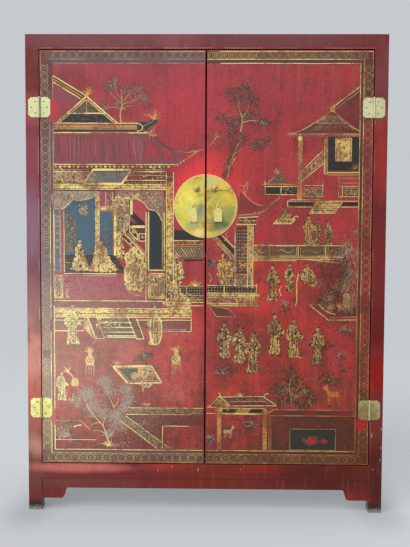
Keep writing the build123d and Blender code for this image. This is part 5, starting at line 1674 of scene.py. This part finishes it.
# the gate and its wall at the foot, with a small panel of flowers
film("umberWash", [(48, 386), (196, 388), (236, 360), (16, 358)])
slab("oliveFill", "giltLine", 3.0, (18, 358), (48, 390), (84, 360))
speckle("giltDull", [(26, 361), (48, 386), (76, 362)], 18, 3)
lines("giltLine", 3.2, (46, 388, 196, 390), (194, 390, 236, 361), (14, 357, 238, 360))
lines("giltDull", 2.2, (84, 372, 200, 374))
tileRows("bandDull", [(64, 386), (190, 387)], [(90, 364), (220, 364)], 22, 1.4, 0.3)
path("giltLine", 2.8, (44, 388), (52, 394), (46, 402), steps=3)
path("giltLine", 2.8, (196, 390), (204, 400), (212, 398), steps=3)
sprig("giltLine", 118, 390, 16, 5, 2.4, 90)
board(52, 333, 198, 350, "umberWash", "giltLine", 2.8)
blocks("charcoal", (62, 337, 96, 346), (154, 337, 190, 346))
slab("tanFill", "giltDull", 2.0, (102, 335), (112, 348), (152, 348), (142, 335))
for x in (42, 194):
    blocks("giltOrange", (x, 211, x + 12, 352))
    dusted(rect(x + 1, 213, x + 11, 350), ("giltFill", 50, 3.0, 0.3), ("umberInk", 22, 2.6))
    lines("giltDull", 2.0, (x, 211, x, 356), (x + 12, 211, x + 12, 356))
lines("giltLine", 2.4, (58, 330, 194, 330), (6, 353, 42, 353), (6, 332, 42, 332), (206, 334, 240, 350))
blocks("brownWash", (218, 212, 496, 324))
blocks("umberWash", (212, 328, 490, 344))
lines("giltDull", 2.4, (214, 346, 496, 346), (214, 326, 496, 326), (214, 208, 214, 326))
lines("giltDull", 2.0, (220, 212, 220, 322))
for area in (rect(222, 216, 280, 320), rect(440, 216, 492, 320), rect(282, 286, 438, 320)):
    dusted(area, ("umberLeaf", 46, 3.4), ("umberInk", 30, 3.4), ("bandDull", 10, 2.4))
board(283, 211, 435, 282, "darkGreen", "giltDull", 2.4)
tuft("pinkPetal", 354, 242, 24, 12, 90, 9.0, 2.6)  # one broad blossom and a small one, over dark leaves
tuft("pinkPetal", 396, 242, 11, 7, 30, 7.0, 2.2)
foliage("umberLeaf", 322, 254, 18, 12, 34, 4.0)
foliage("freshRed", 358, 244, 14, 6, 16, 3.6)
foliage("greenGrey", 330, 246, 16, 10, 16, 4)
foliage("roseWash", 408, 246, 9, 5, 8, 3.6)
speckle("umberLeaf", rect(62, 214, 190, 326), 60, 6, 0.1)
sheet("freshRed", smooth([(512, 322), (530, 318), (532, 286), (518, 276), (506, 284), (504, 304)], 4, True))
speckle("giltOrange", rect(36, 340, 78, 376), 50, 4.4)
print("right door painted:", laid)

# a thin gilt line on the frame, just outside the doors; most of it has worn away on the posts
frameLine = {"in": 47, "over": 7, "beside": 3, "width": 2.0, "topLost": 0.25, "postLost": 0.7}
doorLow, doorHigh = boardLow.z / mm, boardHigh.z / mm
x, z = halfWidth / mm - frameLine["in"], doorHigh + frameLine["over"]
line("bandDull", (-x, z), (x, z), frameLine["width"], frameLine["topLost"], "carcass")
for side in (-1, 1):
    x = side * (innerX / mm + frameLine["beside"])
    line("bandDull", (x, doorLow), (x, doorHigh), frameLine["width"], frameLine["postLost"], "carcass")

# chips down to the pale ground on the right post and the bottom rail
for x, z, w, h in (
    (554, 262, 2.4, 10), (586, 284, 2.2, 5), (582, 180, 2.0, 4), (586, 222, 1.6, 8), (560, 148, 2, 3),
    (-22, 141, 1.8, 6), (-110, 150, 1.6, 4), (-156, 137, 2.2, 2), (120, 143, 1.4, 3), (-250, 146, 2, 1.6),
):
    film("paleTone", smooth([(x - w, z), (x - w * 0.3, z - h), (x + w, z - h * 0.2), (x + w * 0.4, z + h)],
                            2, True), "carcass")

materials = {name: pigmentMaterial(name) for name in pigments}
for (body, pigment), (verts, faces) in films.items():
    mesh = bpy.data.meshes.new(f"painting_{body}_{pigment}")
    mesh.from_pydata(verts, [], faces)
    mesh.materials.append(materials[pigment])
    piece = bpy.data.objects.new(mesh.name, mesh)
    bpy.context.scene.collection.objects.link(piece)
    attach(piece, body)
print("paint laid:", len(films), "pieces", laid, sum(len(f) for v, f in films.values()), "faces")

# camera: just under a metre up, a little right of the middle, looking slightly down
lens = {"focalPx": 852.2, "longSidePx": 547, "sensorMm": 36.0}
eye = {"x": 0.049, "away": 2.8, "z": 0.974, "yaw": 1.03, "pitch": 3.59, "roll": 0.24}
cameraData = bpy.data.cameras.new("studioCamera")
cameraData.sensor_width = lens["sensorMm"]
cameraData.lens = lens["focalPx"] / lens["longSidePx"] * lens["sensorMm"]
camera = bpy.data.objects.new("studioCamera", cameraData)
bpy.context.scene.collection.objects.link(camera)
bpy.context.scene.camera = camera
yaw, pitch, roll = (math.radians(eye[k]) for k in ("yaw", "pitch", "roll"))
camera.matrix_world = (
    Matrix.Translation((eye["x"], frontY - eye["away"], eye["z"]))
    @ Matrix.Rotation(yaw, 4, "Z")
    @ Matrix.Rotation(math.pi / 2 - pitch, 4, "X")
    @ Matrix.Rotation(roll, 4, "Z")
)

# studio: a dim even room, a broad soft lamp high on the left, a weaker one behind, and a soft panel low on
# the left that only lays a sheen on the lacquer; the floor is lifted to the backdrop where it is seen
studio = {
    "backdrop": "#C6CACE",
    "floor": "#C2C8CC",
    "floorBounce": "#6A6D70",
    "roomColour": "#FFFFFF",
    "room": 0.16,
    "sunsAt": (0.0, 0.0, 3.0),
    "keyStrength": 3.87,
    "keySpread": 60.0,
    "keyAim": (0.40, 0.80, -0.80),
    "backStrength": 1.6,
    "backSpread": 90.0,
    "backAim": (-0.5, -0.8, -0.5),
    "panelWatts": 8.4,
    "panelTint": "#FFF3E2",
    "panelSize": (0.74, 0.57),
    "panelAt": (-0.82, -1.55, 0.32),
    "shadowShare": 0.40,
    "paintedContactShadow": 0.17,
    "contactReach": 0.27,
    "footShade": 0.24,
    "footCore": 0.03,
    "footReach": 0.26,
    "footInset": 0.01,
    "shadeStretch": (2.2, 1.0, 1.0),  # the shade reaches less far out at the sides
    "clearFrom": 1.5,
    "clearTo": 4.0,
    "floorHalf": 60.0,
}


def backdropSeen(tree):
    # the rays that meet the backdrop: the camera's, and those that brass and lacquer mirror
    ray = put(tree, "LightPath")
    seen = put(tree, "Math", {0: ray.outputs["Is Camera Ray"], 1: ray.outputs["Is Glossy Ray"]},
               operation="ADD")
    return put(tree, "Math", {0: seen, 1: ray.outputs["Is Transmission Ray"]},
               operation="ADD", use_clamp=True)


world = bpy.data.worlds.new("studioRoom")
bpy.context.scene.world = world
world.use_nodes = True
tree = world.node_tree
tree.nodes.clear()
backdrop = put(tree, "Background", {"Color": linear(studio["backdrop"]), "Strength": 1.0})
room = put(tree, "Background", {"Color": linear(studio["roomColour"]), "Strength": studio["room"]})
both = put(tree, "MixShader", {0: backdropSeen(tree), 1: room, 2: backdrop})
put(tree, "OutputWorld", {"Surface": both})
bpy.context.scene.view_settings.view_transform = "Standard"


def addLamp(name, kind, energy, place, aim):
    lamp = bpy.data.objects.new(name, bpy.data.lights.new(name, kind))
    lamp.data.energy = energy
    lamp.location = place
    lamp.rotation_euler = Vector(aim).to_track_quat("-Z", "Y").to_euler()
    lamp.visible_camera = False
    bpy.context.scene.collection.objects.link(lamp)
    return lamp


keyLamp = addLamp("highSoftLamp", "SUN", studio["keyStrength"], studio["sunsAt"], studio["keyAim"])
keyLamp.data.angle = math.radians(studio["keySpread"])
backLamp = addLamp("backSoftLamp", "SUN", studio["backStrength"], studio["sunsAt"], studio["backAim"])
backLamp.data.angle = math.radians(studio["backSpread"])
panel = addLamp("sheenPanel", "AREA", studio["panelWatts"], studio["panelAt"], (0.0, 1.0, 0.0))
panel.visible_diffuse = False
panel.data.color = linear(studio["panelTint"])[:3]
panel.data.shape = "RECTANGLE"
panel.data.size, panel.data.size_y = studio["panelSize"]

floorMaterial = bpy.data.materials.new("paintedStudioFloor")
floorMaterial.use_nodes = True
tree = floorMaterial.node_tree
tree.nodes.clear()
place = put(tree, "TexCoord").outputs["Object"]
seen = backdropSeen(tree)
grey = put(tree, "Mix", {
    0: seen, 6: linear(studio["floorBounce"]), 7: linear(studio["floor"])}, data_type="RGBA")
paint = put(tree, "BsdfDiffuse", {"Color": grey.outputs[2]})
# painted shadow: a little darker under the cabinet and just round it
outside = put(tree, "VectorMath", {0: place}, operation="ABSOLUTE")
for operation, value in (("SUBTRACT", (halfWidth, -frontY, 0.0)), ("MAXIMUM", (0.0, 0.0, 0.0)),
                         ("MULTIPLY", studio["shadeStretch"])):
    outside = put(tree, "VectorMath", {0: outside, 1: value}, operation=operation)
outside = put(tree, "VectorMath", {0: outside}, operation="LENGTH")
paintedContactShadow = put(tree, "MapRange", {
    "Value": outside.outputs["Value"], "From Min": 0.0, "From Max": studio["contactReach"],
    "To Min": 1 - studio["paintedContactShadow"], "To Max": 1.0}, interpolation_type="SMOOTHSTEP")
# and a painted shadow round each front foot
for side in (-1, 1):
    middle = (side * (halfWidth - studio["footInset"]), frontY - studio["footInset"], 0.0)
    foot = put(tree, "VectorMath", {0: place, 1: middle}, operation="SUBTRACT")
    foot = put(tree, "VectorMath", {0: foot, 1: studio["shadeStretch"]}, operation="MULTIPLY")
    reached = put(tree, "VectorMath", {0: foot}, operation="LENGTH")
    paintedFootShadow = put(tree, "MapRange", {
        "Value": reached.outputs["Value"], "From Min": studio["footCore"], "From Max": studio["footReach"],
        "To Min": 1 - studio["footShade"], "To Max": 1.0}, interpolation_type="SMOOTHSTEP")
    paintedContactShadow = put(tree, "Math", {0: paintedContactShadow, 1: paintedFootShadow}, operation="MULTIPLY")
clear = put(tree, "Emission", {"Color": linear(studio["backdrop"]), "Strength": paintedContactShadow})
away = put(tree, "VectorMath", {0: place}, operation="LENGTH")
share = put(tree, "MapRange", {
    "Value": away.outputs["Value"], "From Min": studio["clearFrom"], "From Max": studio["clearTo"],
    "To Min": 1 - studio["shadowShare"], "To Max": 1.0}, interpolation_type="SMOOTHSTEP")
shown = put(tree, "Math", {0: share, 1: seen}, operation="MULTIPLY")
lifted = put(tree, "MixShader", {0: shown, 1: paint, 2: clear})
put(tree, "OutputMaterial", {"Surface": lifted})
floorMesh = bpy.data.meshes.new("studioFloor")
half = studio["floorHalf"]
floorMesh.from_pydata([(x, z, 0.0) for x, z in rect(-half, -half, half, half)], [], [(0, 1, 2, 3)])
floorMesh.materials.append(floorMaterial)
floor = bpy.data.objects.new("studioFloor", floorMesh)
bpy.context.scene.collection.objects.link(floor)
